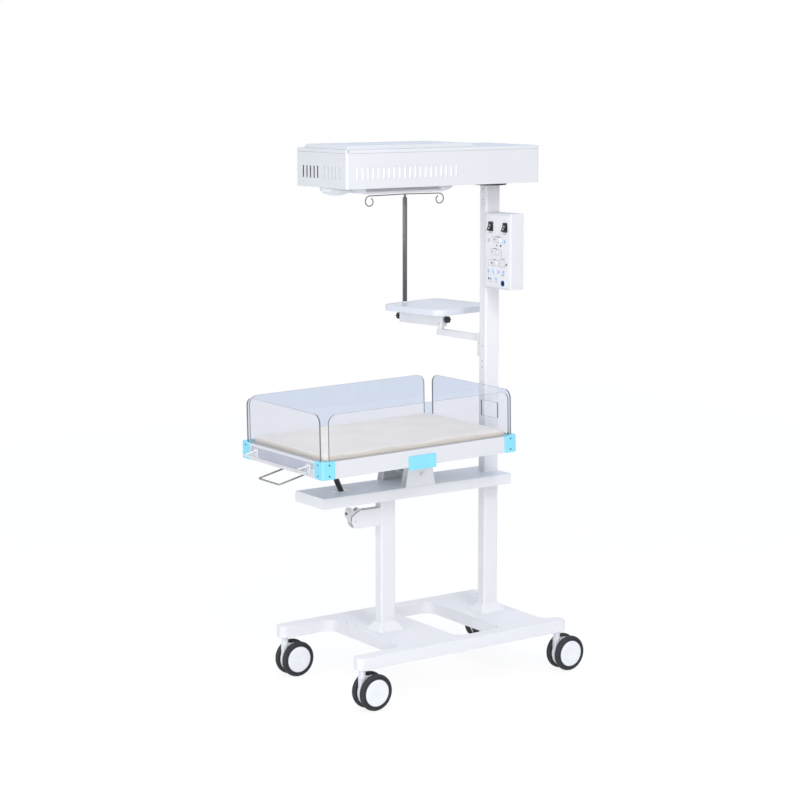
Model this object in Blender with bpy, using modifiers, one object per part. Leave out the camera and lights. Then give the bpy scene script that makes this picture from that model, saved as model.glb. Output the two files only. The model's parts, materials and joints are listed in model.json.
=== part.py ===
"""Infant radiant warmer: a wheeled stand with a tilting baby bed under a swivelling heater head.

The stand is modelled about the middle of its four caster stems, with the floor at zero.
+Z is up, -Y is the foot end of the bed and +Y the head end, where the tall column stands.
The bed is modelled level about its tilt axis and hangs in an empty that gives it its rest tilt.
"""

import math

import bmesh
import bpy
from mathutils import Matrix, Vector

# Clearances between pieces, in metres
SEAT = 0.0003
RUNNING = 0.0006

# Casters
WHEEL_RADIUS = 0.0625
WHEEL_TRAIL = 0.039
WHEEL_OUTER_X = 0.035
TYRE_WIDTH = 0.021
TYRE_DEPTH = 0.0165
TYRE_SHOULDER = 0.0075
DISC_PROUD = 0.0015
AXLE_RADIUS = 0.005
CASTER_BODY_RADIUS = 0.053
CASTER_BODY_WIDTH = 0.022
STEM_RADIUS = 0.012
FORK_WEB_Z = (0.045, 0.112)
WHEEL_STEPS = 20

# Base frame
STEM_X = 0.243
STEM_Y = 0.4145
RAIL_WIDTH = 0.050
RAIL_HEIGHT = 0.042
RAIL_BOTTOM = 0.145
RAIL_END_PAST_STEM = 0.025
RAIL_CORNER = 0.018
CROSS_FRONT_Y = (-0.236, -0.006)
CROSS_REAR_Y = (0.190, 0.380)
CROSS_FILLET = 0.038
CROSS_SHEET = 0.003
CROSS_SLOT = (0.022, 0.006)
CROSS_SLOT_X = (-0.141, -0.079, -0.032)
CROSS_SLOT_INSET = 0.014

# Columns
COLUMN_X = 0.040
COLUMN_Y = 0.060
COLUMN_CORNER = 0.006
COLUMN_WALL = 0.0025
REAR_COLUMN_Y = 0.290
FRONT_COLUMN_Y = -0.154
COLUMN_CAP = 0.012
COLLAR_FOOT = (0.098, 0.106)
COLLAR_TOP = (0.047, 0.067)
COLLAR_HEIGHT = 0.030
COLUMN_HOLES = (1.018, 1.071, 1.093, 1.146, 1.647, 1.659, 1.696)
COLUMN_HOLE_RADIUS = 0.0025

# Beam under the bed, with the bed's two brackets on it
BEAM_X = 0.178
BEAM_FOOT_Y = -0.463
BEAM_TOP = 0.6976
BEAM_DEPTH = 0.0371
BEAM_BOTTOM = BEAM_TOP - BEAM_DEPTH
BEAM_SHEET = 0.003
BEAM_HEAD_Y = REAR_COLUMN_Y + COLUMN_Y / 2 + SEAT + BEAM_SHEET
BEAM_CORNER = 0.004
BEAM_SLOT_X = 0.030
BEAM_SLOT_Y = (-0.376, -0.304)
BRACKET_OUTER_X = 0.087
BRACKET_DEPTH = 0.030
BRACKET_Y = -0.0665
BRACKET_FOOT = 0.124
BRACKET_HEAD = 0.092
BRACKET_SHEET = 0.003

# Bed tilt axis, rest tilt and hinge
TILT_Y = -0.060
TILT_RISE = 0.0394
TILT_Z = BEAM_TOP + TILT_RISE
BRACKET_RISE = 0.047
BRACKET_CROWN = TILT_Z + BRACKET_RISE
REST_TILT = math.radians(1.04)
HINGE_BOLT_RADIUS = 0.005
HINGE_LUG_X = 0.048
HINGE_LUG_SHEET = 0.006
HINGE_LUG_RADIUS = 0.016
HINGE_PLATE = (0.105, 0.055, 0.004)

# Bed, in its own level frame about the tilt axis
BED_X = 0.509
BED_Y = (-0.5114, 0.2806)
BLOCK_SIDE = 0.050
BED_BOTTOM = 0.0705
BLOCK_HEIGHT = 0.0595
BLOCK_Z = (BED_BOTTOM, BED_BOTTOM + BLOCK_HEIGHT)
BLOCK_CORNER = 0.010
BLOCK_PROUD = 0.0035
TRAY_HEIGHT = 0.057
TRAY_Z = (BED_BOTTOM, BED_BOTTOM + TRAY_HEIGHT)
TRAY_WALL = 0.025
TRAY_DEPTH = 0.0265
TRAY_SHEET = 0.003
TRAY_FLOOR = (TRAY_Z[1] - TRAY_DEPTH - TRAY_SHEET, TRAY_Z[1] - TRAY_DEPTH)
PANEL_SHEET = 0.005
PANEL_HEIGHT = 0.203
PANEL_RISE = 0.0075
PANEL_Z = (BED_BOTTOM + PANEL_RISE, BED_BOTTOM + PANEL_RISE + PANEL_HEIGHT)
SIDE_PANEL_INSET = 0.008
SIDE_PANEL_X = BED_X / 2 - SIDE_PANEL_INSET
SIDE_PANEL_END = 0.0312
SIDE_PANEL_Y = (BED_Y[0] + SIDE_PANEL_END, BED_Y[1] - SIDE_PANEL_END)
END_PANEL_INSET = (0.0104, 0.0070)
FOOT_PANEL_Y = BED_Y[0] + END_PANEL_INSET[0]
HEAD_PANEL_Y = BED_Y[1] - END_PANEL_INSET[1]
END_PANEL_END = 0.0265
END_PANEL_X = BED_X / 2 - END_PANEL_END
PANEL_CORNER = 0.030
PANEL_PORT_X = (0.065, 0.157)
PANEL_PORT_Z = (PANEL_Z[1] - 0.109, PANEL_Z[1] - 0.054)
PANEL_LIP = 0.0066
MATTRESS_THICKNESS = 0.048
MATTRESS_TOP = TRAY_FLOOR[1] + MATTRESS_THICKNESS
MATTRESS_CORNER = 0.020
SIDE_PLATE_Y = (-0.171, -0.061)
SIDE_PLATE_HEIGHT = 0.048
SIDE_PLATE_DROP = 0.0105
SIDE_PLATE_Z = (BED_BOTTOM - SIDE_PLATE_DROP, BED_BOTTOM - SIDE_PLATE_DROP + SIDE_PLATE_HEIGHT)
SIDE_PLATE_SHEET = 0.004

# Foot rail and release handle of the bed
FOOT_RAIL_HALF = 0.196
FOOT_RAIL_INNER = 0.132
FOOT_RAIL_REACH = 0.0241
FOOT_RAIL_Y = BED_Y[0] - FOOT_RAIL_REACH
FOOT_RAIL_Z = BED_BOTTOM + 0.020
FOOT_RAIL_RADIUS = 0.0035
RAIL_LEG_RADIUS = 0.0025
RAIL_BOSS_X = 0.1645
RAIL_BOSS_Z = FOOT_RAIL_Z + 0.015
RAIL_BOSS_LENGTH = 0.003
RAIL_LUG_WIDTH = 0.026
RAIL_LUG_DROP = 0.027
RAIL_LUG_TOP = 0.008
RAIL_WASHER_RADIUS = 0.006
RAIL_WASHER = 0.0035
HANDLE_HALF = 0.065
HANDLE_HINGE = (-0.350, TRAY_FLOOR[0] - 0.0194)
HANDLE_REACH = 0.0492
HANDLE_FRONT = (BED_Y[0] - HANDLE_REACH, HANDLE_HINGE[1] - 0.0444)
HANDLE_RADIUS = 0.0025
HANDLE_LUG = 0.004
MOUNT_SHEET = 0.003
STRUT_EAR_X = 0.0145

# Gas strut, from its clevis on the front column to the underside of the bed
ARM_TIP_Y = -0.300
ARM_DROP = 0.0385
ARM_HEIGHT = 0.062
ARM_Z = (BEAM_BOTTOM - ARM_DROP - ARM_HEIGHT, BEAM_BOTTOM - ARM_DROP)
STRUT_FOOT = (ARM_TIP_Y - 0.003, ARM_Z[1] + 0.001)
STRUT_HEAD = (-0.3237, TRAY_FLOOR[0] - 0.024)
ROD_RADIUS = 0.005
ROD_TOP = 0.115
ROD_TRAVEL = 0.046
CYLINDER_RADIUS = 0.0095
CYLINDER_START = 0.062
STRUT_EYE_RADIUS = 0.011
STRUT_PIN_RADIUS = 0.004
STRUT_PIN_PLAY = 0.0032
ARM_X = 0.030
ARM_CORNER = 0.024
ARM_NOSE = (0.030, 0.020)
ARM_BOLT = (0.014, 0.026)
ARM_SHEET = 0.0025
CLEVIS_X = 0.020
CLEVIS_SHEET = 0.0025

# Control box beside the rear column
BOX_X = (0.0203, 0.165)
BOX_Y = (0.2540, 0.3130)
BOX_BOTTOM = 1.356
BOX_HEIGHT = 0.261
BOX_Z = (BOX_BOTTOM, BOX_BOTTOM + BOX_HEIGHT)
BOX_CORNER = 0.006
BOX_WALL = 0.003
OVERLAY_INSET = 0.006
OVERLAY_X = (BOX_X[0] + OVERLAY_INSET, BOX_X[1] - OVERLAY_INSET)
OVERLAY_Z = (BOX_Z[0] + OVERLAY_INSET, BOX_Z[1] - OVERLAY_INSET)
OVERLAY_SHEET = 0.0010
SWITCH_X = (BOX_X[0] + 0.0357, BOX_X[0] + 0.1157)
SWITCH_Z = BOX_Z[1] - 0.047
SWITCH_BEZEL = (0.025, 0.033)
SWITCH_ROCKER = (0.019, 0.027)
SWITCH_BEZEL_DEPTH = 0.002
SWITCH_ROOM = 0.001
SWITCH_END_PLAY = 0.0020
SWITCH_AXIS_DEPTH = 0.003
SWITCH_BACK = 0.005
SWITCH_LEAN = math.radians(15)
# Windows, keys and socket are placed from the lower left corner of the box's front
WINDOWS = (
    (0.0752, 0.1695, 0.056, 0.017),
    (0.0587, 0.1270, 0.046, 0.018),
    (0.0577, 0.0890, 0.043, 0.018),
    (0.1057, 0.1225, 0.013, 0.025),
)
WINDOW_RISE = 0.0004
KEYS = (
    (0.0277, 0.1670, 0.0060),
    (0.1162, 0.1665, 0.0070),
    (0.0255, 0.0590, 0.0070),
    (0.0540, 0.0590, 0.0070),
    (0.0824, 0.0590, 0.0070),
    (0.1106, 0.0590, 0.0070),
    (0.0389, 0.0335, 0.0065),
    (0.0685, 0.0335, 0.0065),
)
KEY_RISE = 0.0010
SOCKET = (0.1090, 0.0217, 0.0125)
SOCKET_RISE = 0.006

# Heater head, which swivels on the rear column
HEAD_X = 0.304
HEAD_Y = (-0.408, 0.386)
HEAD_BOTTOM = 1.7225
HEAD_HEIGHT = 0.1269
HEAD_Z = (HEAD_BOTTOM, HEAD_BOTTOM + HEAD_HEIGHT)
HEAD_CORNER = 0.008
HEAD_SHEET = 0.002
LID_HEIGHT = 0.012
SIDE_SLOTS = 20
SIDE_SLOT_PITCH = 0.021
SIDE_SLOT_WIDTH = 0.010
SIDE_SLOT_START = HEAD_Y[0] + 0.042
END_SLOTS = 5
END_SLOT_PITCH = 0.022
END_SLOT_WIDTH = 0.008
END_SLOT_START = 0.022
SLOT_RISE = 0.030
SLOT_HEIGHT = 0.040
SLOT_Z = (HEAD_Z[0] + SLOT_RISE, HEAD_Z[0] + SLOT_RISE + SLOT_HEIGHT)
VENT_EDGE = 0.022
VENT_X = HEAD_X - 2 * VENT_EDGE
VENT_LENGTH = 0.512
VENT_Y = (HEAD_Y[0] + 0.016, HEAD_Y[0] + 0.016 + VENT_LENGTH)
VENT_HEIGHT = 0.012
VENT_INSET = 0.006
VENT_SLOTS = 18
VENT_SLOT = (0.040, 0.009)
SWIVEL_RADIUS = 0.0575
SWIVEL_SHEET = 0.0078
SWIVEL_PIN_RADIUS = 0.010
SWIVEL_PIN_DEPTH = 0.011
BASE_SHEET = 0.003
BASE_FRONT_Y = 0.130
CARRIER_X = 0.044
LAMP_RADIUS = 0.052
LAMP_DROP = 0.028
LAMP_BAND = 0.012
FRONT_LAMP_Y = -0.352
REAR_LAMP_Y = 0.064
REFLECTOR_HALF = 0.100
REFLECTOR_Y = (-0.295, 0.006)
REFLECTOR_DROP = 0.0155
REFLECTOR_RIM_Z = HEAD_Z[0] - REFLECTOR_DROP
REFLECTOR_DEPTH = 0.052
REFLECTOR_SHEET = 0.0015
REFLECTOR_LIP = 0.006
HEATER_RADIUS = 0.007
HEATER_RISE = 0.024
HEATER_Z = REFLECTOR_RIM_Z + HEATER_RISE
GUARD_RIM = 0.003
GUARD_WIRE = 0.0012
GUARD_PITCH = 0.030

# Instrument tray arm, tray and infusion pole
ARM_PLATE = (0.012, 0.056, 0.082)
ARM_PLATE_Z = 1.149
TRAY_ARM_SIZE = 0.022
TRAY_ARM_RISE = 0.020
TRAY_ARM_Z = ARM_PLATE_Z + TRAY_ARM_RISE
TRAY_PIVOT = (-0.255, 0.268)
TRAY_YAW = math.radians(10)
TRAY_POST_RADIUS = 0.010
TRAY_POST_HEIGHT = 0.057
TRAY_POST_TOP = TRAY_ARM_Z + TRAY_POST_HEIGHT
HOLDER_GAP = 0.0105
HOLDER_HEIGHT = 0.0502
HOLDER_LOW = TRAY_ARM_Z + TRAY_ARM_SIZE / 2 + HOLDER_GAP
HOLDER_Z = (HOLDER_LOW, HOLDER_LOW + HOLDER_HEIGHT)
HOLDER_WIDTH = 0.034
HOLDER_END_U = 0.018
POLE_U = -0.1865
POLE_RADIUS = 0.0085
POLE_LENGTH = 0.453
POLE_Z = (HOLDER_Z[0] + 0.0035, HOLDER_Z[0] + 0.0035 + POLE_LENGTH)
INSTRUMENT_TRAY_U = (-0.200, 0.098)
INSTRUMENT_TRAY_V = (-0.110, 0.180)
INSTRUMENT_TRAY_HEIGHT = 0.022
INSTRUMENT_TRAY_Z = (HOLDER_Z[1] + SEAT, HOLDER_Z[1] + SEAT + INSTRUMENT_TRAY_HEIGHT)
INSTRUMENT_TRAY_CORNER = 0.040
TRAY_DISH = 0.0015
TRAY_RIM = 0.008
HOOK_SPAN = 0.348
HOOK_LOOP = 0.0195
HOOK_WIRE = 0.002
HOOK_Z = POLE_Z[1] + 0.009
POLE_KNOB_DROP = 0.005
KNOB_RADIUS = 0.0130
KNOB_DEPTH = 0.014
KNOB_STEM = 0.006
KNOB_STEM_RADIUS = 0.004

# Finishes: colour, roughness and metallic value
FINISHES = {
    "white": ((0.86, 0.87, 0.90), 0.35, 0.0),
    "blue": ((0.29, 0.78, 0.98), 0.35, 0.0),
    "deep_blue": ((0.02, 0.12, 0.50), 0.30, 0.0),
    "black": ((0.02, 0.02, 0.025), 0.45, 0.0),
    "rubber": ((0.03, 0.03, 0.035), 0.70, 0.0),
    "chrome": ((0.75, 0.76, 0.78), 0.12, 1.0),
    "steel": ((0.62, 0.63, 0.65), 0.30, 1.0),
    "clear": ((0.85, 0.90, 0.98), 0.05, 0.0),
    "cream": ((0.86, 0.81, 0.74), 0.80, 0.0),
    "grey": ((0.55, 0.58, 0.64), 0.40, 0.0),
    "quartz": ((0.92, 0.88, 0.84), 0.15, 0.0),
}

for old in list(bpy.data.objects):
    bpy.data.objects.remove(old, do_unlink=True)
PARTS = bpy.data.collections.new("infant_radiant_warmer")
CUTTERS = bpy.data.collections.new("cutters")
bpy.context.scene.collection.children.link(PARTS)
bpy.context.scene.collection.children.link(CUTTERS)
CUTTERS.hide_render = True


# Small helpers: empties, finishes, placing and cutting


def empty(name, parent=None, place=(0, 0, 0), turn=(0, 0, 0)):
    """An axis or an assembly's own frame."""
    obj = bpy.data.objects.new(name, None)
    obj.empty_display_size = 0.03
    PARTS.objects.link(obj)
    obj.parent = parent
    obj.location = place
    obj.rotation_euler = turn
    return obj


def finish_of(name, finish):
    """A Principled material of its own for one piece."""
    colour, roughness, metallic = FINISHES[finish]
    material = bpy.data.materials.new(name + "_finish")
    material.use_nodes = True
    shader = material.node_tree.nodes["Principled BSDF"]
    shader.inputs["Base Color"].default_value = (*colour, 1.0)
    shader.inputs["Roughness"].default_value = roughness
    shader.inputs["Metallic"].default_value = metallic
    if finish == "clear":
        shader.inputs["Transmission Weight"].default_value = 1.0
    return material


def piece(name, mesh, finish, parent, place=(0, 0, 0), turn=(0, 0, 0)):
    """One named piece, shaded smooth with sharp edges kept."""
    obj = bpy.data.objects.new(name, mesh)
    PARTS.objects.link(obj)
    obj.parent = parent
    obj.location = place
    obj.rotation_euler = turn
    mesh.shade_smooth()
    mesh.set_sharp_from_angle(angle=math.radians(32))
    if not mesh.materials:
        mesh.materials.append(finish_of(name, finish))
    return obj


def boolean(obj, mesh, parent=None, place=(0, 0, 0), turn=(0, 0, 0), operation="DIFFERENCE"):
    """Cuts a mesh from a piece, or joins it on. The helper stays in the cutters' collection."""
    tool = bpy.data.objects.new(obj.name + "_" + operation.lower(), mesh)
    CUTTERS.objects.link(tool)
    tool.parent = parent
    tool.location = place
    tool.rotation_euler = turn
    tool.hide_render = True
    tool.display_type = "WIRE"
    modifier = obj.modifiers.new(operation.lower(), "BOOLEAN")
    modifier.object = tool
    modifier.operation = operation
    return tool


def bevelled(obj, width, segments=1):
    """Rounds or chamfers the edges that stand at about a right angle."""
    bevel = obj.modifiers.new("edges", "BEVEL")
    bevel.width = width
    bevel.segments = segments
    bevel.angle_limit = math.radians(50)


def settled(obj):
    """The piece's mesh with its modifiers applied."""
    bpy.context.view_layer.update()
    graph = bpy.context.evaluated_depsgraph_get()
    return bpy.data.meshes.new_from_object(obj.evaluated_get(graph))


def carved(mesh, cutters):
    """A shape with other shapes cut away from it, before it is joined to a piece."""
    holder = bpy.data.objects.new("carving", mesh)
    PARTS.objects.link(holder)
    boolean(holder, cutters)
    made = settled(holder)
    drop(holder)
    return made


def drop(obj):
    bpy.data.objects.remove(obj, do_unlink=True)


# Mesh makers


def mesh_of(bm, name="form"):
    bmesh.ops.recalc_face_normals(bm, faces=bm.faces)
    mesh = bpy.data.meshes.new(name)
    bm.to_mesh(mesh)
    bm.free()
    return mesh


def span_box(x, y, z):
    """A box given by its low and high values along X, Y and Z."""
    bm = bmesh.new()
    middle = Vector((sum(x) / 2, sum(y) / 2, sum(z) / 2))
    size = Vector((x[1] - x[0], y[1] - y[0], z[1] - z[0]))
    bmesh.ops.create_cube(bm, size=1, matrix=Matrix.Translation(middle) @ Matrix.Diagonal((*size, 1)))
    return mesh_of(bm)


def many(meshes):
    """Separate shapes held in one mesh."""
    bm = bmesh.new()
    for mesh in meshes:
        bm.from_mesh(mesh)
    return mesh_of(bm)


def moved(mesh, place=(0, 0, 0), turn=(0, 0, 0)):
    """The same mesh, turned about X, Y and Z and then moved."""
    spin = Matrix.Rotation(turn[2], 4, "Z") @ Matrix.Rotation(turn[1], 4, "Y")
    spin = spin @ Matrix.Rotation(turn[0], 4, "X")
    copy = mesh.copy()
    copy.transform(Matrix.Translation(place) @ spin)
    return copy


def cylinder(radius, low, high, sides=24, axis="Z", top_radius=None):
    """A round bar or cone between two values along one axis."""
    bm = bmesh.new()
    turns = {
        "Z": Matrix(),
        "X": Matrix.Rotation(math.pi / 2, 4, "Y"),
        "Y": Matrix.Rotation(-math.pi / 2, 4, "X"),
    }
    lift = Matrix.Translation((0, 0, (low + high) / 2))
    bmesh.ops.create_cone(
        bm,
        cap_ends=True,
        segments=sides,
        radius1=radius,
        radius2=radius if top_radius is None else top_radius,
        depth=high - low,
        matrix=turns[axis] @ lift,
    )
    return mesh_of(bm)


def from_curve(curve):
    """The mesh of a curve, with its caps welded."""
    holder = bpy.data.objects.new("outline", curve)
    bpy.context.scene.collection.objects.link(holder)
    mesh = settled(holder)
    drop(holder)
    bm = bmesh.new()
    bm.from_mesh(mesh)
    bmesh.ops.remove_doubles(bm, verts=bm.verts, dist=0.00001)
    return mesh_of(bm)


def prism(loops, low, high):
    """A flat outline, with any holes in it, made solid between two heights."""
    curve = bpy.data.curves.new("outline", "CURVE")
    curve.dimensions = "2D"
    curve.fill_mode = "BOTH"
    curve.extrude = (high - low) / 2
    for loop in loops:
        spline = curve.splines.new("POLY")
        spline.points.add(len(loop) - 1)
        for point, (x, y) in zip(spline.points, loop):
            point.co = (x, y, 0, 1)
        spline.use_cyclic_u = True
    mesh = from_curve(curve)
    mesh.transform(Matrix.Translation((0, 0, (low + high) / 2)))
    return mesh


def rounded(corners, steps=3):
    """An outline through (x, y, radius) corners, each rounded by an arc."""
    outline = []
    count = len(corners)
    for index, (x, y, radius) in enumerate(corners):
        here = Vector((x, y))
        if radius <= 0:
            outline.append(here)
            continue
        back = (Vector(corners[index - 1][:2]) - here).normalized()
        ahead = (Vector(corners[(index + 1) % count][:2]) - here).normalized()
        half = back.angle(ahead) / 2
        reach = radius / math.tan(half)
        centre = here + (back + ahead).normalized() * radius / math.sin(half)
        start = here + back * reach - centre
        finish = here + ahead * reach - centre
        swing = start.angle_signed(finish)
        for step in range(steps + 1):
            angle = -swing * step / steps
            turned_point = Matrix.Rotation(angle, 2) @ start
            outline.append(centre + turned_point)
    return [(point.x, point.y) for point in outline]


def rectangle(x, y, radius=0.0, steps=3):
    """A rectangle with equal round corners."""
    corners = [(x[0], y[0], radius), (x[1], y[0], radius), (x[1], y[1], radius), (x[0], y[1], radius)]
    return rounded(corners, steps)


def arc(centre, radius, start, end, steps):
    """Points along an arc, with angles in degrees."""
    points = []
    for step in range(steps + 1):
        angle = math.radians(start + (end - start) * step / steps)
        points.append((centre[0] + radius * math.cos(angle), centre[1] + radius * math.sin(angle)))
    return points


def turned(profile, steps, axis="Z", closed=False):
    """A profile of (radius, height) points, screwed once round its axis."""
    mesh = bpy.data.meshes.new("profile")
    count = len(profile)
    edges = [(i, i + 1) for i in range(count - 1)]
    if closed:
        edges.append((count - 1, 0))
    if axis == "Z":
        points = [(radius, 0, height) for radius, height in profile]
    else:
        points = [(height, radius, 0) for radius, height in profile]
    mesh.from_pydata(points, edges, [])
    holder = bpy.data.objects.new("profile", mesh)
    bpy.context.scene.collection.objects.link(holder)
    screw = holder.modifiers.new("turn", "SCREW")
    screw.axis = axis
    screw.steps = steps
    screw.render_steps = steps
    screw.use_merge_vertices = True
    screw.merge_threshold = 0.00001
    made = settled(holder)
    drop(holder)
    bm = bmesh.new()
    bm.from_mesh(made)
    bmesh.ops.remove_doubles(bm, verts=bm.verts, dist=0.00001)
    return mesh_of(bm)


def filleted(points, radius, steps=3):
    """A path through points in space, with its inner corners rounded."""
    path = [Vector(points[0])]
    for before, here, after in zip(points, points[1:], points[2:]):
        here = Vector(here)
        back = (Vector(before) - here).normalized()
        ahead = (Vector(after) - here).normalized()
        reach = min(radius, (Vector(before) - here).length / 2.2, (Vector(after) - here).length / 2.2)
        for step in range(steps + 1):
            share = step / steps
            first = here + back * reach * (1 - share)
            second = here + ahead * reach * share
            path.append(first * (1 - share) + second * share)
    path.append(Vector(points[-1]))
    return path


def wire(points, radius, resolution=2, cyclic=False):
    """A round wire or tube along a path."""
    curve = bpy.data.curves.new("wire", "CURVE")
    curve.dimensions = "3D"
    curve.bevel_depth = radius
    curve.bevel_resolution = resolution
    curve.use_fill_caps = True
    spline = curve.splines.new("POLY")
    spline.points.add(len(points) - 1)
    for point, place in zip(spline.points, points):
        point.co = (*place, 1)
    spline.use_cyclic_u = cyclic
    return from_curve(curve)


# Turns a flat outline so that its own X and Y lie along Y and Z
ACROSS = (math.pi / 2, 0, math.pi / 2)
ORIGIN = empty("warmer_origin")


# Base: two rails welded to two pressed cross plates, and the collars at the columns' feet


def cross_plate(span):
    """A pressed plate whose corners flare into the rails on both sides."""
    face = STEM_X - RAIL_WIDTH / 2
    sunk = face + RAIL_WIDTH / 4
    low, high = span
    flare = CROSS_FILLET
    outline = [(-sunk, low - flare)]
    outline += arc((-face + flare, low - flare), flare, 180, 90, 4)
    outline += arc((face - flare, low - flare), flare, 90, 0, 4)
    outline += [(sunk, low - flare), (sunk, high + flare)]
    outline += arc((face - flare, high + flare), flare, 0, -90, 4)
    outline += arc((-face + flare, high + flare), flare, -90, -180, 4)
    outline += [(-sunk, high + flare)]
    return prism([outline], RAIL_BOTTOM, RAIL_BOTTOM + RAIL_HEIGHT)


def base_frame():
    end = STEM_Y + RAIL_END_PAST_STEM
    half = RAIL_WIDTH / 2
    top = RAIL_BOTTOM + RAIL_HEIGHT
    outline = rectangle((-half, half), (-end, end), RAIL_CORNER)
    rail = prism([outline], RAIL_BOTTOM, top)
    pair = many([moved(rail, (-STEM_X, 0, 0)), moved(rail, (STEM_X, 0, 0))])
    frame = piece("base_frame", pair, "white", ORIGIN)
    bevelled(frame, 0.002)
    for span in (CROSS_FRONT_Y, CROSS_REAR_Y):
        boolean(frame, cross_plate(span), ORIGIN, operation="UNION")
    inner = STEM_X - half - CROSS_SHEET
    under = (RAIL_BOTTOM - 0.01, top - CROSS_SHEET)
    pockets = [
        span_box((-inner, inner), (low + CROSS_SHEET, high - CROSS_SHEET), under)
        for low, high in (CROSS_FRONT_Y, CROSS_REAR_Y)
    ]
    boolean(frame, many(pockets), ORIGIN)
    slot_y = CROSS_FRONT_Y[0] + CROSS_SLOT_INSET
    half_x, half_y = CROSS_SLOT[0] / 2, CROSS_SLOT[1] / 2
    slots = [
        span_box((x - half_x, x + half_x), (slot_y - half_y, slot_y + half_y), (top - 0.008, top + 0.002))
        for x in CROSS_SLOT_X
    ]
    boolean(frame, many(slots), ORIGIN)


def collars():
    """Four-sided tapered covers, bored for the column with a seat's clearance."""
    foot_z = RAIL_BOTTOM + RAIL_HEIGHT + SEAT
    half_x = COLUMN_X / 2 + SEAT
    half_y = COLUMN_Y / 2 + SEAT
    for name, y in (("front", FRONT_COLUMN_Y), ("rear", REAR_COLUMN_Y)):
        bm = bmesh.new()
        bmesh.ops.create_cube(bm, size=1)
        for vert in bm.verts:
            width, depth = COLLAR_TOP if vert.co.z > 0 else COLLAR_FOOT
            height = foot_z + (vert.co.z + 0.5) * COLLAR_HEIGHT
            vert.co = Vector((vert.co.x * width, vert.co.y * depth, height))
        slanted = [edge for edge in bm.edges if abs(edge.verts[0].co.z - edge.verts[1].co.z) > 0.001]
        bmesh.ops.bevel(bm, geom=slanted, offset=0.007, segments=2, affect="EDGES")
        collar = piece(name + "_collar", moved(mesh_of(bm), (0, y, 0)), "white", ORIGIN)
        bore = rectangle((-half_x, half_x), (y - half_y, y + half_y), COLUMN_CORNER + SEAT, 3)
        boolean(collar, prism([bore], foot_z - 0.01, foot_z + COLLAR_HEIGHT + 0.01), ORIGIN)


# Columns and beam


def column_outline(y, shrink=0.0):
    half_x = COLUMN_X / 2 - shrink
    half_y = COLUMN_Y / 2 - shrink
    return rectangle((-half_x, half_x), (y - half_y, y + half_y), COLUMN_CORNER - shrink, 3)


def columns():
    foot = RAIL_BOTTOM + RAIL_HEIGHT + SEAT
    front = prism(
        [column_outline(FRONT_COLUMN_Y), column_outline(FRONT_COLUMN_Y, COLUMN_WALL)],
        foot,
        BEAM_TOP - BEAM_SHEET - SEAT,
    )
    piece("front_column", front, "white", ORIGIN)
    top = HEAD_Z[0] - SWIVEL_SHEET - 2 * SEAT
    rear = piece("rear_column", prism([column_outline(REAR_COLUMN_Y)], foot, top), "white", ORIGIN)
    boolean(rear, prism([column_outline(REAR_COLUMN_Y, COLUMN_WALL)], foot - 0.01, top - COLUMN_CAP), ORIGIN)
    bore = cylinder(SWIVEL_PIN_RADIUS + RUNNING, top - COLUMN_CAP - 0.005, top + 0.005, 20)
    boolean(rear, moved(bore, (0, REAR_COLUMN_Y, 0)), ORIGIN)
    face = REAR_COLUMN_Y - COLUMN_Y / 2
    holes = [
        moved(cylinder(COLUMN_HOLE_RADIUS, face - 0.004, face + COLUMN_WALL + 0.002, 8, "Y"), (0, 0, z))
        for z in COLUMN_HOLES
    ]
    boolean(rear, many(holes), ORIGIN)


def top_beam():
    """An inverted tray of sheet with closed ends. The front column's top stands inside it."""
    low, high = BEAM_FOOT_Y, BEAM_HEAD_Y
    half = BEAM_X / 2
    depth = BEAM_TOP - BEAM_BOTTOM
    section = rounded(
        [
            (-half, -depth / 2, 0),
            (half, -depth / 2, 0),
            (half, depth / 2, BEAM_CORNER),
            (-half, depth / 2, BEAM_CORNER),
        ]
    )
    bar = moved(prism([section], -high, -low), (0, 0, (BEAM_TOP + BEAM_BOTTOM) / 2), (math.pi / 2, 0, 0))
    beam = piece("top_beam", bar, "white", ORIGIN)
    inner = half - BEAM_SHEET
    pocket_y = (low + BEAM_SHEET, high - BEAM_SHEET)
    pocket_z = (BEAM_BOTTOM - 0.01, BEAM_TOP - BEAM_SHEET)
    boolean(beam, span_box((-inner, inner), pocket_y, pocket_z), ORIGIN)
    half_x = COLUMN_X / 2 + SEAT
    half_y = COLUMN_Y / 2 + SEAT
    y = REAR_COLUMN_Y
    hole = [rectangle((-half_x, half_x), (y - half_y, y + half_y), COLUMN_CORNER + SEAT, 3)]
    boolean(beam, prism(hole, BEAM_TOP - 0.01, BEAM_TOP + 0.01), ORIGIN)
    slot_half = BEAM_SLOT_X / 2
    slot = [rectangle((-slot_half, slot_half), BEAM_SLOT_Y, slot_half - 0.001, 5)]
    boolean(beam, prism(slot, BEAM_TOP - 0.01, BEAM_TOP + 0.01), ORIGIN)
    bed_brackets(beam)


# Bed brackets, strut arm and clevis


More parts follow.
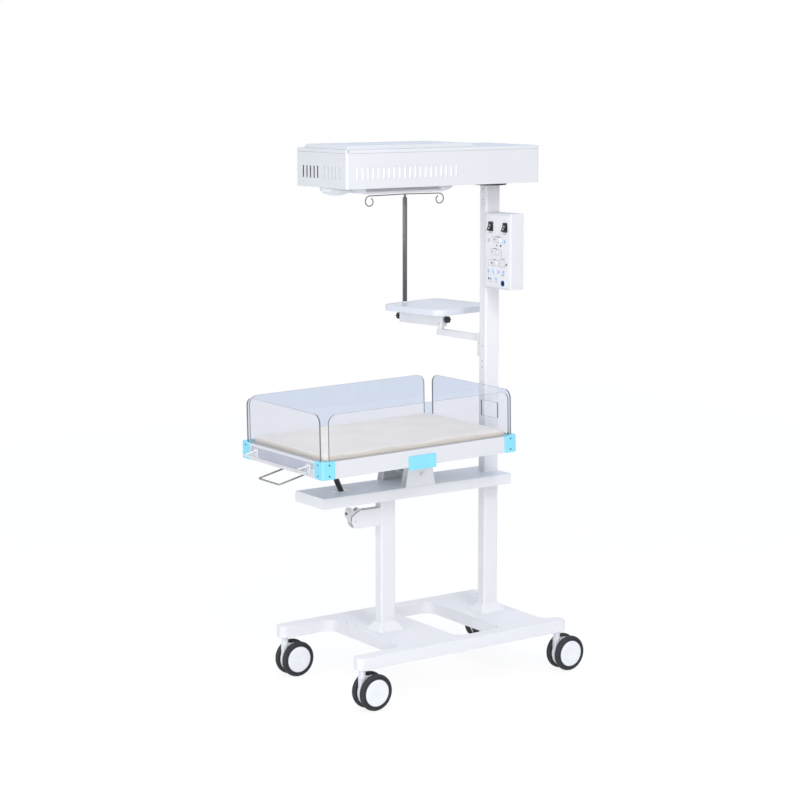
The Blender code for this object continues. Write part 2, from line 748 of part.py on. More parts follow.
def bed_brackets(beam):
    """Two folded trapezium brackets welded on the beam, open towards the middle."""
    foot, head, crown = BRACKET_FOOT / 2, BRACKET_HEAD / 2, BRACKET_CROWN
    base = BEAM_TOP - BEAM_SHEET / 2
    sheet = BRACKET_SHEET
    outline = rounded([(-foot, base, 0), (foot, base, 0), (head, crown, 0.008), (-head, crown, 0.008)])
    pocket = rounded(
        [
            (-foot + sheet, base - 0.01, 0),
            (foot - sheet, base - 0.01, 0),
            (head - sheet, crown - sheet, 0.005),
            (-head + sheet, crown - sheet, 0.005),
        ]
    )
    for side in (-1, 1):
        ends = sorted((side * BRACKET_OUTER_X, side * (BRACKET_OUTER_X - BRACKET_DEPTH)))
        hollow = sorted((side * (BRACKET_OUTER_X - sheet), side * (BRACKET_OUTER_X - BRACKET_DEPTH - 0.01)))
        shell = carved(prism([outline], *ends), prism([pocket], *hollow))
        boolean(beam, shell, ORIGIN, (0, BRACKET_Y, 0), ACROSS, "UNION")
    reach = BRACKET_OUTER_X + 0.01
    bore = cylinder(HINGE_BOLT_RADIUS + SEAT, -reach, reach, 16, "X")
    boolean(beam, moved(bore, (0, TILT_Y, TILT_Z)), ORIGIN)


def hinge_rod():
    """The through-rod that carries the bed's lugs between the two brackets, headed at both ends."""
    outer = BRACKET_OUTER_X + SEAT
    head = HINGE_BOLT_RADIUS + 0.003
    right = [
        (HINGE_BOLT_RADIUS, outer),
        (head, outer),
        (head, outer + 0.002),
        (head - 0.001, outer + 0.003),
        (0, outer + 0.003),
    ]
    left = [(radius, -x) for radius, x in reversed(right)]
    piece("hinge_rod", turned(left + right, 14, "X"), "steel", ORIGIN, (0, TILT_Y, TILT_Z))


def strut_arm():
    """An arm on the front column, folded to an open-topped channel with a round nose."""
    root = FRONT_COLUMN_Y - COLUMN_Y / 2 - SEAT
    low, high = ARM_Z
    shoulder = ARM_TIP_Y + ARM_NOSE[0]
    side = rounded(
        [
            (ARM_TIP_Y, low, ARM_CORNER),
            (root, low, 0),
            (root, high, 0),
            (shoulder, high, 0.010),
            (ARM_TIP_Y, high - ARM_NOSE[1], 0.003),
        ],
        5,
    )
    half = ARM_X / 2
    arm = piece("strut_arm", moved(prism([side], -half, half), turn=ACROSS), "white", ORIGIN)
    inner = half - ARM_SHEET
    channel = rounded(
        [
            (ARM_TIP_Y - 0.01, low + ARM_SHEET, ARM_CORNER),
            (root - ARM_SHEET, low + ARM_SHEET, 0),
            (root - ARM_SHEET, high + 0.01, 0),
            (ARM_TIP_Y - 0.01, high + 0.01, 0),
        ],
        6,
    )
    boolean(arm, moved(prism([channel], -inner, inner), turn=ACROSS), ORIGIN)
    bolt_y, bolt_z = ARM_TIP_Y + ARM_BOLT[0], low + ARM_BOLT[1]
    boolean(arm, moved(cylinder(0.003 + SEAT, -0.03, 0.03, 12, "X"), (0, bolt_y, bolt_z)), ORIGIN)


def strut_clevis():
    """A chrome fork bolted in the arm's nose. Its ears carry the pin in the strut's lower eye."""
    y, z = STRUT_FOOT
    half = CLEVIS_X / 2
    bolt_y, bolt_z = ARM_TIP_Y + ARM_BOLT[0], ARM_Z[0] + ARM_BOLT[1]
    side = rounded(
        [
            (y - 0.013, z - 0.016, 0.002),
            (bolt_y - 0.008, bolt_z - 0.010, 0.006),
            (bolt_y + 0.010, bolt_z - 0.006, 0.006),
            (y + 0.040, z + 0.004, 0.003),
            (y + 0.034, z + 0.009, 0.003),
            (y + 0.014, z - 0.004, 0.006),
            (y + 0.009, z + 0.009, 0.006),
            (y - 0.009, z + 0.009, 0.006),
        ],
        3,
    )
    clevis = piece("strut_clevis", moved(prism([side], -half, half), turn=ACROSS), "chrome", ORIGIN)
    inner = half - CLEVIS_SHEET
    room = STRUT_EYE_RADIUS + 0.002
    boolean(clevis, span_box((-inner, inner), (y - 0.03, y + 0.06), (z - room, z + 0.03)), ORIGIN)
    pin = moved(cylinder(STRUT_PIN_RADIUS, -half - 0.0015, half + 0.0015, 16, "X"), (0, y, z))
    boolean(clevis, pin, ORIGIN, operation="UNION")
    reach = ARM_X / 2 + 0.0015
    bolt = moved(cylinder(0.003, -reach, reach, 12, "X"), (0, bolt_y, bolt_z))
    boolean(clevis, bolt, ORIGIN, operation="UNION")


# Control box on the column's side


def control_box():
    """A folded box, open towards the column, with two holes in its front for the rocker switches."""
    shape = prism([rectangle(BOX_X, BOX_Y, BOX_CORNER, 3)], *BOX_Z)
    box = piece("control_box", shape, "white", ORIGIN)
    bevelled(box, 0.002)
    wall = BOX_WALL
    inside_x = (BOX_X[0] - 0.01, BOX_X[1] - wall)
    inside_y = (BOX_Y[0] + wall, BOX_Y[1] - wall)
    inside_z = (BOX_Z[0] + wall, BOX_Z[1] - wall)
    boolean(box, span_box(inside_x, inside_y, inside_z), ORIGIN)
    pockets = []
    for x in SWITCH_X:
        half_x, half_z = SWITCH_ROCKER[0] / 2 + SWITCH_ROOM, SWITCH_ROCKER[1] / 2 + SWITCH_ROOM
        span_y = (BOX_Y[0] - 0.01, BOX_Y[0] + BOX_WALL + 0.01)
        span_z = (SWITCH_Z - half_z, SWITCH_Z + half_z)
        pockets.append(span_box((x - half_x, x + half_x), span_y, span_z))
    boolean(box, many(pockets), ORIGIN)


def front_plate(x, z, radius, depth, front, holes=()):
    """A plate that lies on the box's front, from its face inwards. It faces -Y."""
    loops = [rectangle(x, z, radius, 2)] + [rectangle(hx, hz, hr, 1) for hx, hz, hr in holes]
    plate = prism(loops, 0, depth)
    return moved(plate, (0, front + depth, 0), (math.pi / 2, 0, 0))


def switch_hole(x, grow):
    half_x, half_z = SWITCH_ROCKER[0] / 2 + grow, SWITCH_ROCKER[1] / 2 + grow
    return ((x - half_x, x + half_x), (SWITCH_Z - half_z, SWITCH_Z + half_z), 0.001)


def control_panel():
    """The overlay on the box's front, with windows and keys embossed on it, and the sensor socket."""
    face = BOX_Y[0] - SEAT - OVERLAY_SHEET
    sunk = OVERLAY_SHEET / 2
    holes = [switch_hole(x, SWITCH_ROOM) for x in SWITCH_X]
    sheet = front_plate(OVERLAY_X, OVERLAY_Z, 0.004, OVERLAY_SHEET, face, holes)
    overlay = piece("panel_overlay", sheet, "white", ORIGIN)
    windows = []
    for along, up, width, height in WINDOWS:
        x, z = BOX_X[0] + along, BOX_Z[0] + up
        span_x, span_z = (x - width / 2, x + width / 2), (z - height / 2, z + height / 2)
        windows.append(front_plate(span_x, span_z, 0.0015, WINDOW_RISE + sunk, face - WINDOW_RISE))
    boolean(overlay, many(windows), ORIGIN, operation="UNION")
    keys = []
    for along, up, radius in KEYS:
        profile = [(0, KEY_RISE), (radius * 0.8, KEY_RISE), (radius, KEY_RISE / 2)]
        profile += [(radius, -sunk), (0, -sunk)]
        place = (BOX_X[0] + along, face, BOX_Z[0] + up)
        keys.append(moved(turned(profile, 10), place, (math.pi / 2, 0, 0)))
    boolean(overlay, many(keys), ORIGIN, operation="UNION")
    along, up, radius = SOCKET
    profile = [
        (0, SOCKET_RISE * 0.25),
        (radius * 0.55, SOCKET_RISE * 0.25),
        (radius * 0.55, SOCKET_RISE),
        (radius * 0.85, SOCKET_RISE),
        (radius, SOCKET_RISE * 0.6),
        (radius, 0),
        (0, 0),
    ]
    place = (BOX_X[0] + along, face - SEAT, BOX_Z[0] + up)
    piece("sensor_socket", turned(profile, 16), "deep_blue", ORIGIN, place, (math.pi / 2, 0, 0))
    for name, x in zip(("left", "right"), SWITCH_X):
        half_x, half_z = SWITCH_BEZEL[0] / 2, SWITCH_BEZEL[1] / 2
        spans = (x - half_x, x + half_x), (SWITCH_Z - half_z, SWITCH_Z + half_z)
        depth = SWITCH_BEZEL_DEPTH
        bezel = front_plate(*spans, 0.002, depth, face - SEAT - depth, [switch_hole(x, 0.0005)])
        piece("switch_bezel_" + name, bezel, "black", ORIGIN)


def rocker_switches():
    """Two V-faced rockers on cross axes just behind the bezels. At rest their lower halves stand out."""
    half_x = SWITCH_ROCKER[0] / 2
    half_z = SWITCH_ROCKER[1] / 2 - SWITCH_END_PLAY
    bezel_face = BOX_Y[0] - 2 * SEAT - OVERLAY_SHEET - SWITCH_BEZEL_DEPTH
    tip = SWITCH_AXIS_DEPTH + half_z * math.tan(SWITCH_LEAN)
    outline = [
        (-tip, half_z, 0.001),
        (-SWITCH_AXIS_DEPTH, 0, 0),
        (-tip, -half_z, 0.001),
        (SWITCH_BACK, -half_z * 0.6, 0.001),
        (SWITCH_BACK, half_z * 0.6, 0.001),
    ]
    body = moved(prism([rounded(outline, 2)], -half_x, half_x), turn=ACROSS)
    body = moved(body, turn=(-SWITCH_LEAN, 0, 0))
    for name, x in zip(("left", "right"), SWITCH_X):
        pivot = empty("rocker_axis_" + name, ORIGIN, (x, bezel_face + SWITCH_AXIS_DEPTH, SWITCH_Z))
        piece("rocker_switch_" + name, body.copy(), "black", pivot)


# Casters


def caster_fork_mesh():
    """The hood between the two wheels, with its neck and stem, bored for the axle."""
    half = CASTER_BODY_WIDTH / 2
    body = cylinder(CASTER_BODY_RADIUS, -half, half, 24, "X")
    holder = piece("fork_form", moved(body, (0, WHEEL_TRAIL, WHEEL_RADIUS)), "white", None)
    neck = cylinder(STEM_RADIUS, FORK_WEB_Z[0] + 0.007, RAIL_BOTTOM - SEAT, 16)
    boolean(holder, neck, operation="UNION")
    low, high = FORK_WEB_Z
    front = -STEM_RADIUS + 0.002
    web = rounded(
        [
            (front, low, 0.006),
            (WHEEL_TRAIL, low, 0),
            (WHEEL_TRAIL, high, 0),
            (0, high + 0.010, 0.004),
            (front, high, 0),
        ],
        2,
    )
    sheet = prism([web], -half + 0.001, half - 0.001)
    boolean(holder, sheet, turn=ACROSS, operation="UNION")
    bore = cylinder(AXLE_RADIUS + SEAT, -0.02, 0.02, 12, "X")
    boolean(holder, moved(bore, (0, WHEEL_TRAIL, WHEEL_RADIUS)))
    mesh = settled(holder)
    drop(holder)
    return mesh


def wheel_mesh():
    """Two wheels with rubber treads moulded on, and the axle between them, turned as one shape about X."""
    half_body = CASTER_BODY_WIDTH / 2 + SEAT
    inner = WHEEL_OUTER_X - DISC_PROUD - TYRE_WIDTH
    outer = WHEEL_OUTER_X - DISC_PROUD
    rim = WHEEL_RADIUS - TYRE_DEPTH
    shoulder = TYRE_SHOULDER
    right = [
        (AXLE_RADIUS, half_body),
        (AXLE_RADIUS + 0.010, half_body),
        (AXLE_RADIUS + 0.010, inner),
    ]
    right += [(r, x) for x, r in arc((inner + shoulder, WHEEL_RADIUS - shoulder), shoulder, 180, 90, 1)]
    right += [(r, x) for x, r in arc((outer - shoulder, WHEEL_RADIUS - shoulder), shoulder, 90, 0, 2)]
    right += [
        (rim, outer),
        (rim * 0.92, WHEEL_OUTER_X),
        (0, WHEEL_OUTER_X),
    ]
    left = [(radius, -x) for radius, x in reversed(right)]
    return turned(left + right, WHEEL_STEPS, "X")


def casters():
    fork, wheel = caster_fork_mesh(), wheel_mesh()
    places = {
        "front_left": (-STEM_X, -STEM_Y),
        "front_right": (STEM_X, -STEM_Y),
        "rear_left": (-STEM_X, STEM_Y),
        "rear_right": (STEM_X, STEM_Y),
    }
    for name, (x, y) in places.items():
        stem = empty("caster_axis_" + name, ORIGIN, (x, y, 0))
        axle = empty("wheel_axis_" + name, stem, (0, WHEEL_TRAIL, WHEEL_RADIUS))
        piece("caster_fork_" + name, fork, "white", stem)
        piece("caster_wheels_" + name, wheel, "rubber", axle)


# Bed: tray, corner blocks, clear panels, mattress and what hangs under it


def panel_outline(span, height):
    low, high = span
    bottom, top = height
    foot = [(low, bottom, 0.002), (high, bottom, 0.002)]
    return rounded(foot + [(high, top, PANEL_CORNER), (low, top, PANEL_CORNER)], 6)


def upright(outlines, sheet, x=None, y=None):
    """A sheet standing upright across X or across Y."""
    plate = prism(outlines, -sheet / 2, sheet / 2)
    if x is not None:
        return moved(plate, (x, 0, 0), ACROSS)
    return moved(plate, (0, y, 0), (math.pi / 2, 0, 0))


def panel_slots():
    """The grooves that the panels stand in, a seat's clearance wider than the sheets."""
    bottom = PANEL_Z[0] - SEAT
    top = BLOCK_Z[1] + 0.02
    half = PANEL_SHEET / 2 + SEAT
    low, high = SIDE_PANEL_Y[0] - SEAT, SIDE_PANEL_Y[1] + SEAT
    reach = END_PANEL_X + SEAT
    sides = (-SIDE_PANEL_X, SIDE_PANEL_X)
    ends = (FOOT_PANEL_Y, HEAD_PANEL_Y)
    slots = [span_box((x - half, x + half), (low, high), (bottom, top)) for x in sides]
    return slots + [span_box((-reach, reach), (y - half, y + half), (bottom, top)) for y in ends]


def mattress_span():
    """The space inside the tray's inner lips, in X and Y."""
    half = SIDE_PANEL_X - PANEL_SHEET / 2 - SEAT - PANEL_LIP
    low = FOOT_PANEL_Y + PANEL_SHEET / 2 + SEAT + PANEL_LIP
    high = HEAD_PANEL_Y - PANEL_SHEET / 2 - SEAT - PANEL_LIP
    return (-half, half), (low, high)


def bed_tray(bed):
    """A tray with hollow underside, a recess for the mattress and grooves for the panels."""
    half = BED_X / 2 - BLOCK_PROUD
    low, high = BED_Y[0] + BLOCK_PROUD, BED_Y[1] - BLOCK_PROUD
    side = BLOCK_SIDE - BLOCK_PROUD + SEAT
    tray = piece("bed_tray", span_box((-half, half), (low, high), TRAY_Z), "white", bed)
    notches = []
    for x_side in (-1, 1):
        for y_side, edge in ((-1, low), (1, high)):
            span_x = sorted((x_side * (half - side), x_side * (half + 0.01)))
            span_y = sorted((edge - y_side * side, edge + y_side * 0.01))
            notches.append(span_box(span_x, span_y, (TRAY_Z[0] - 0.01, TRAY_Z[1] + 0.01)))
    boolean(tray, many(notches), bed)
    span_x, span_y = mattress_span()
    boolean(tray, prism([rectangle(span_x, span_y)], TRAY_FLOOR[1], TRAY_Z[1] + 0.01), bed)
    boolean(tray, many(panel_slots()), bed)
    under_x, under_y = half - TRAY_WALL, (low + TRAY_WALL, high - TRAY_WALL)
    web = 2 * (side - TRAY_WALL) + 0.009
    hollow = [
        (-under_x + web, under_y[0]),
        (under_x - web, under_y[0]),
        (under_x, under_y[0] + web),
        (under_x, under_y[1] - web),
        (under_x - web, under_y[1]),
        (-under_x + web, under_y[1]),
        (-under_x, under_y[1] - web),
        (-under_x, under_y[0] + web),
    ]
    boolean(tray, prism([hollow], TRAY_Z[0] - 0.01, TRAY_FLOOR[0]), bed)


def corner_blocks(bed):
    """Four blocks that clasp the tray's corners and hold the panels' ends."""
    half = BED_X / 2
    for x_name, x_side in (("left", -1), ("right", 1)):
        for y_name, y_side, edge in (("foot", -1, BED_Y[0]), ("head", 1, BED_Y[1])):
            outer_x, outer_y = x_side * half, edge
            inner_x, inner_y = x_side * (half - BLOCK_SIDE), edge - y_side * BLOCK_SIDE
            corners = [
                (outer_x, outer_y, BLOCK_CORNER),
                (outer_x, inner_y, 0.002),
                (inner_x, inner_y, 0),
                (inner_x, outer_y, 0.002),
            ]
            block = piece(f"corner_block_{y_name}_{x_name}", prism([rounded(corners)], *BLOCK_Z), "blue", bed)
            boolean(block, many(panel_slots()), bed)
            span_x, span_y = mattress_span()
            boolean(block, span_box(span_x, span_y, (TRAY_FLOOR[1], BLOCK_Z[1] + 0.01)), bed)


def side_plates(bed):
    """Blue cover plates over the middle of the tray's long sides."""
    x = BED_X / 2 - BLOCK_PROUD + SEAT + SIDE_PLATE_SHEET / 2
    outline = rectangle(SIDE_PLATE_Y, SIDE_PLATE_Z, 0.005)
    for name, side in (("left", -1), ("right", 1)):
        piece("side_plate_" + name, upright([outline], SIDE_PLATE_SHEET, x=side * x), "blue", bed)


def bed_panels(bed):
    """Four clear panels that lift out of their grooves."""
    for name, side in (("left", -1), ("right", 1)):
        seat = empty("panel_seat_" + name, bed, (side * SIDE_PANEL_X, 0, 0))
        sheet = upright([panel_outline(SIDE_PANEL_Y, PANEL_Z)], PANEL_SHEET, x=0)
        piece("bed_panel_" + name, sheet, "clear", seat)
    seat = empty("panel_seat_foot", bed, (0, FOOT_PANEL_Y, 0))
    end = panel_outline((-END_PANEL_X, END_PANEL_X), PANEL_Z)
    piece("bed_panel_foot", upright([end], PANEL_SHEET, y=0), "clear", seat)
    seat = empty("panel_seat_head", bed, (0, HEAD_PANEL_Y, 0))
    port = rectangle(PANEL_PORT_X, PANEL_PORT_Z, 0.004)
    piece("bed_panel_head", upright([end, port], PANEL_SHEET, y=0), "clear", seat)


def mattress(bed):
    span_x, span_y = mattress_span()
    pad_x = (span_x[0] + RUNNING, span_x[1] - RUNNING)
    pad_y = (span_y[0] + RUNNING, span_y[1] - RUNNING)
    outline = rectangle(pad_x, pad_y, MATTRESS_CORNER, 4)
    pad = piece("mattress", prism([outline], TRAY_FLOOR[1] + SEAT, MATTRESS_TOP), "cream", bed)
    bevelled(pad, 0.008, 2)


def bed_hinge_frame(bed):
    """A cross plate under the tray's floor, with the two lugs that hang on the hinge rod."""
    top = TRAY_FLOOR[0] - SEAT
    half_x, half_y, sheet = HINGE_PLATE
    plate = span_box((-half_x, half_x), (-half_y, half_y), (top - sheet, top))
    frame = piece("bed_hinge_frame", plate, "white", bed)
    radius = HINGE_LUG_RADIUS
    lug = rounded(
        [
            (-2 * radius, top - sheet / 2, 0),
            (-radius, -radius, radius * 0.9),
            (radius, -radius, radius * 0.9),
            (2 * radius, top - sheet / 2, 0),
        ]
    )
    lugs = [upright([lug], HINGE_LUG_SHEET, x=side * HINGE_LUG_X) for side in (-1, 1)]
    boolean(frame, many(lugs), bed, operation="UNION")
    boolean(frame, cylinder(HINGE_BOLT_RADIUS + SEAT, -0.09, 0.09, 16, "X"), bed)


def ear_outline(y, z, radius, top):
    """A lug that hangs from a plate at the height top, with a round end about the point (y, z)."""
    return rounded(
        [
            (y - 1.6 * radius, top, 0),
            (y - radius, z - radius, 0.8 * radius),
            (y + radius, z - radius, 0.8 * radius),
            (y + 1.6 * radius, top, 0),
        ]
    )


def bed_foot_mount(bed):
    """A plate under the floor with the ears of the strut's upper pin and the release handle's lugs."""
    top = TRAY_FLOOR[0] - SEAT
    sheet = MOUNT_SHEET
    y, z = STRUT_HEAD
    hinge_y, hinge_z = HANDLE_HINGE
    half_x = HANDLE_HALF + 0.012
    spans = (hinge_y - 0.014, y + 0.020)
    mount = piece("bed_foot_mount", span_box((-half_x, half_x), spans, (top - sheet, top)), "steel", bed)
    inside = top - sheet / 2
    ear = ear_outline(y, z, 0.009, inside)
    ears = [upright([ear], sheet, x=side * STRUT_EAR_X) for side in (-1, 1)]
    boolean(mount, many(ears), bed, operation="UNION")
    reach = STRUT_EAR_X + sheet
    pin = moved(cylinder(STRUT_PIN_RADIUS, -reach, reach, 16, "X"), (0, y, z))
    boolean(mount, pin, bed, operation="UNION")
    lug = ear_outline(hinge_y, hinge_z, 0.006, inside)
    lugs = [upright([lug], HANDLE_LUG, x=side * (HANDLE_HALF + 0.008)) for side in (-1, 1)]
    boolean(mount, many(lugs), bed, operation="UNION")
    bores = [
        moved(cylinder(HANDLE_RADIUS + SEAT, *sorted((side * HANDLE_HALF, side * (half_x + 0.01))), 12, "X"))
        for side in (-1, 1)
    ]
    boolean(mount, moved(many(bores), (0, hinge_y, hinge_z)), bed)


def foot_rail(bed):
    """A chrome rail along the foot end, carried by a pair of V legs on two lug plates."""
    face = BED_Y[0] + BLOCK_PROUD - SEAT
    seat = face - RAIL_BOSS_LENGTH - SEAT
    end = FOOT_RAIL_HALF
    bar = wire([(-end, FOOT_RAIL_Y, FOOT_RAIL_Z), (end, FOOT_RAIL_Y, FOOT_RAIL_Z)], FOOT_RAIL_RADIUS)
    rail = piece("foot_rail", bar, "chrome", bed)
    inside = 0.8 * FOOT_RAIL_RADIUS
    for name, side in (("left", -1), ("right", 1)):
        x = side * RAIL_BOSS_X
        lug_x = (x - RAIL_LUG_WIDTH / 2, x + RAIL_LUG_WIDTH / 2)
        lug = rectangle(lug_x, (RAIL_BOSS_Z - RAIL_LUG_DROP, RAIL_BOSS_Z + RAIL_LUG_TOP), 0.007)
        boss = upright([lug], RAIL_BOSS_LENGTH, y=face - RAIL_BOSS_LENGTH / 2)
        piece("rail_boss_" + name, boss, "white", bed)
        washer = cylinder(RAIL_WASHER_RADIUS, seat - RAIL_WASHER, seat, 16, "Y")
        boolean(rail, moved(washer, (x, 0, RAIL_BOSS_Z)), bed, operation="UNION")
        top = (x, seat - RAIL_WASHER + 0.0005, RAIL_BOSS_Z)
        outer = (side * (end - inside), FOOT_RAIL_Y, FOOT_RAIL_Z)
        boolean(rail, wire([top, outer], RAIL_LEG_RADIUS, 1), bed, operation="UNION")
        inner = (side * FOOT_RAIL_INNER, FOOT_RAIL_Y, FOOT_RAIL_Z)
        boolean(rail, wire([top, inner], RAIL_LEG_RADIUS, 1), bed, operation="UNION")


def release_handle(bed):
    """The wire handle that releases the tilt. It turns in its lugs under the tray."""
    y, z = HANDLE_HINGE
    axis = empty("release_handle_axis", bed, (0, y, z))
    front_y, front_z = HANDLE_FRONT[0] - y, HANDLE_FRONT[1] - z
    half = HANDLE_HALF
    points = [
        (-half - 0.014, 0, 0),
        (-half, 0, 0),
        (-half, front_y, front_z),
        (half, front_y, front_z),
        (half, 0, 0),
        (half + 0.014, 0, 0),
    ]
    piece("release_handle", wire(filleted(points, 0.006, 2), HANDLE_RADIUS, 1), "chrome", axis)


# Gas strut


def gas_strut(bed):
    """The rod turns on the clevis pin and the cylinder slides on it, up to the bed's pin."""
    foot = Vector((0, *STRUT_FOOT))
    tilt = Matrix.Rotation(REST_TILT, 3, "X")
    head = Vector((0, TILT_Y, TILT_Z)) + tilt @ Vector((0, *STRUT_HEAD))
    line = head - foot
    lean = math.atan2(-line.y, line.z)
    axis = empty("strut_axis", ORIGIN, foot, (lean, 0, 0))
    length = line.length
    eye_half = CLEVIS_X / 2 - CLEVIS_SHEET - RUNNING
    rod = piece("strut_rod", cylinder(STRUT_EYE_RADIUS, -eye_half, eye_half, 16, "X"), "chrome", axis)
    boolean(rod, cylinder(ROD_RADIUS, 0.004, ROD_TOP, 12), axis, operation="UNION")
    boolean(rod, cylinder(STRUT_PIN_RADIUS + SEAT, -0.03, 0.03, 16, "X"), axis)
    inner, outer, low = ROD_RADIUS + SEAT, CYLINDER_RADIUS, CYLINDER_START
    closed_end = ROD_TOP + ROD_TRAVEL
    top = length - STRUT_EYE_RADIUS + 0.004
    profile = [
        (0, top),
        (outer - 0.002, top),
        (outer, top - 0.002),
        (outer, low + 0.001),
        (outer - 0.001, low),
        (inner, low),
        (inner, closed_end),
        (0, closed_end),
    ]
    cylinder_body = piece("strut_cylinder", turned(profile, 16), "black", axis)
    eye_outer = STRUT_PIN_RADIUS + STRUT_PIN_PLAY + 0.004
    eye = moved(cylinder(eye_outer, -0.0105, 0.0105, 16, "X"), (0, 0, length))
    boolean(cylinder_body, eye, axis, operation="UNION")
    play = moved(cylinder(STRUT_PIN_RADIUS + STRUT_PIN_PLAY, -0.03, 0.03, 16, "X"), (0, 0, length))
    boolean(cylinder_body, play, axis)


# Heater head


def wall_slots():
    """Vent slots through both long walls and through the front wall."""
    cuts = []
    half = HEAD_X / 2 + 0.01
    for index in range(SIDE_SLOTS):
        y = SIDE_SLOT_START + index * SIDE_SLOT_PITCH
        for side in (-1, 1):
            span_x = sorted((side * (half - 0.02), side * half))
            cuts.append(span_box(span_x, (y - SIDE_SLOT_WIDTH / 2, y + SIDE_SLOT_WIDTH / 2), SLOT_Z))
    front = HEAD_Y[0]
    for index in range(END_SLOTS):
        for side in (-1, 1):
            x = side * (END_SLOT_START + index * END_SLOT_PITCH)
            span_x = (x - END_SLOT_WIDTH / 2, x + END_SLOT_WIDTH / 2)
            cuts.append(span_box(span_x, (front - 0.01, front + 0.01), SLOT_Z))
    return many(cuts)


def head_outline(shrink=0.0):
    half = HEAD_X / 2 - shrink
    return rectangle((-half, half), (HEAD_Y[0] + shrink, HEAD_Y[1] - shrink), HEAD_CORNER - shrink)


def head_shell(head):
    """The slotted wall of the head, its lid and the raised vent cover on the lid."""
    wall_top = HEAD_Z[1] - LID_HEIGHT
    wall = prism([head_outline(), head_outline(HEAD_SHEET)], HEAD_Z[0], wall_top - SEAT)
    housing = piece("head_housing", wall, "white", head)
    boolean(housing, wall_slots(), head)
    lid = piece("head_lid", prism([head_outline()], wall_top, HEAD_Z[1]), "white", head)
    bevelled(lid, 0.0015)
    boolean(lid, prism([head_outline(HEAD_SHEET)], wall_top - 0.01, HEAD_Z[1] - HEAD_SHEET), head)
    half = VENT_X / 2 - 0.012
    opening = rectangle((-half, half), (VENT_Y[0] + 0.012, VENT_Y[1] - 0.012), 0.010)
    boolean(lid, prism([opening], HEAD_Z[1] - 0.008, HEAD_Z[1] + 0.01), head)


def vent_cover(head):
    """A raised pressed cover with sloping flanks and two rows of slots."""
    base = HEAD_Z[1] + SEAT
    half = VENT_X / 2
    low, high = VENT_Y
    middle = (low + high) / 2

    def frustum(shrink, drop_top, drop_bottom):
        bm = bmesh.new()
        bmesh.ops.create_cube(bm, size=1)
        for vert in bm.verts:
            upper = vert.co.z > 0
            inset = VENT_INSET + shrink if upper else shrink
            z = base + VENT_HEIGHT - drop_top if upper else base - drop_bottom
            x = vert.co.x * 2 * (half - inset)
            y = vert.co.y * (high - low - 2 * inset) + middle
            vert.co = Vector((x, y, z))
        return mesh_of(bm)

    cover = piece("vent_cover", frustum(0, 0, 0), "white", head)
    boolean(cover, frustum(HEAD_SHEET, HEAD_SHEET, 0.004), head)
    length, width = VENT_SLOT
    pitch = (high - low - 0.06) / (VENT_SLOTS - 1)
    cuts = []
    for index in range(VENT_SLOTS):
        y = low + 0.03 + index * pitch
        for side in (-1, 1):
            outer = side * (half - 0.014)
            span_x = sorted((outer, outer - side * length))
            span_z = (base + VENT_HEIGHT - 0.006, base + VENT_HEIGHT + 0.004)
            cuts.append(span_box(span_x, (y - width / 2, y + width / 2), span_z))
    boolean(cover, many(cuts), head)


def head_base(head):
    """The plate across the head's rear, on the swivel pin, with tongues that carry lamps and reflector."""
    half = HEAD_X / 2 - HEAD_SHEET - SEAT
    low = HEAD_Z[0] + SEAT
    top = low + BASE_SHEET
    rear = HEAD_Y[1] - HEAD_SHEET - SEAT
    front = HEAD_Y[0] + HEAD_SHEET + SEAT
    tongue = CARRIER_X / 2
    ridge = HEAD_Z[0] + REFLECTOR_DEPTH + 0.004
    sheet = BASE_SHEET
    near, far = REFLECTOR_Y[0] - SEAT, REFLECTOR_Y[1] + SEAT
    corner = HEAD_CORNER - HEAD_SHEET
    outline = [(-half, BASE_FRONT_Y, 0), (half, BASE_FRONT_Y, 0), (half, rear, corner), (-half, rear, corner)]
    plate = piece("head_base_plate", prism([rounded(outline)], low, top), "white", head)
    strap = [(far, low), (BASE_FRONT_Y + 0.01, low), (BASE_FRONT_Y + 0.01, top), (far + sheet, top)]
    strap += [(far + sheet, ridge), (near - sheet, ridge), (near - sheet, top), (front, top), (front, low)]
    strap += [(near, low), (near, ridge - sheet), (far, ridge - sheet)]
    carrier = moved(prism([strap], -tongue, tongue), turn=ACROSS)
    boolean(plate, carrier, head, operation="UNION")
    pin_bottom = HEAD_Z[0] - SWIVEL_SHEET - 2 * SEAT - SWIVEL_PIN_DEPTH
    pin = moved(cylinder(SWIVEL_PIN_RADIUS, pin_bottom, low + sheet / 2, 20), (0, REAR_COLUMN_Y, 0))
    boolean(plate, pin, head, operation="UNION")


def swivel_disc():
    """The black friction disc between the column's top and the head."""
    top = HEAD_Z[0] - SEAT
    low = top - SWIVEL_SHEET + SEAT
    inner = SWIVEL_PIN_RADIUS + RUNNING
    profile = [
        (inner, top),
        (SWIVEL_RADIUS - 0.001, top),
        (SWIVEL_RADIUS, top - 0.001),
        (SWIVEL_RADIUS, low + 0.001),
        (SWIVEL_RADIUS - 0.001, low),
        (inner, low),
    ]
    disc = turned(profile, 28, closed=True)
    piece("swivel_disc", disc, "black", ORIGIN, (0, REAR_COLUMN_Y, 0))


def head_lamps(head):
    """Two round lamps with shallow domed lenses, under the base plate's tongues."""
    top = HEAD_Z[0]
    dome = LAMP_DROP - LAMP_BAND
    profile = [(0, top), (LAMP_RADIUS * 0.86, top), (LAMP_RADIUS, top - 0.004)]
    profile.append((LAMP_RADIUS, top - LAMP_BAND))
    for angle in (22.5, 45, 67.5):
        turn = math.radians(angle)
        profile.append((LAMP_RADIUS * math.cos(turn), top - LAMP_BAND - dome * math.sin(turn)))
    profile.append((0, top - LAMP_DROP))
    for name, y in (("front_lamp", FRONT_LAMP_Y), ("rear_lamp", REAR_LAMP_Y)):
        piece(name, turned(profile, 24), "grey", head, (0, y, 0))


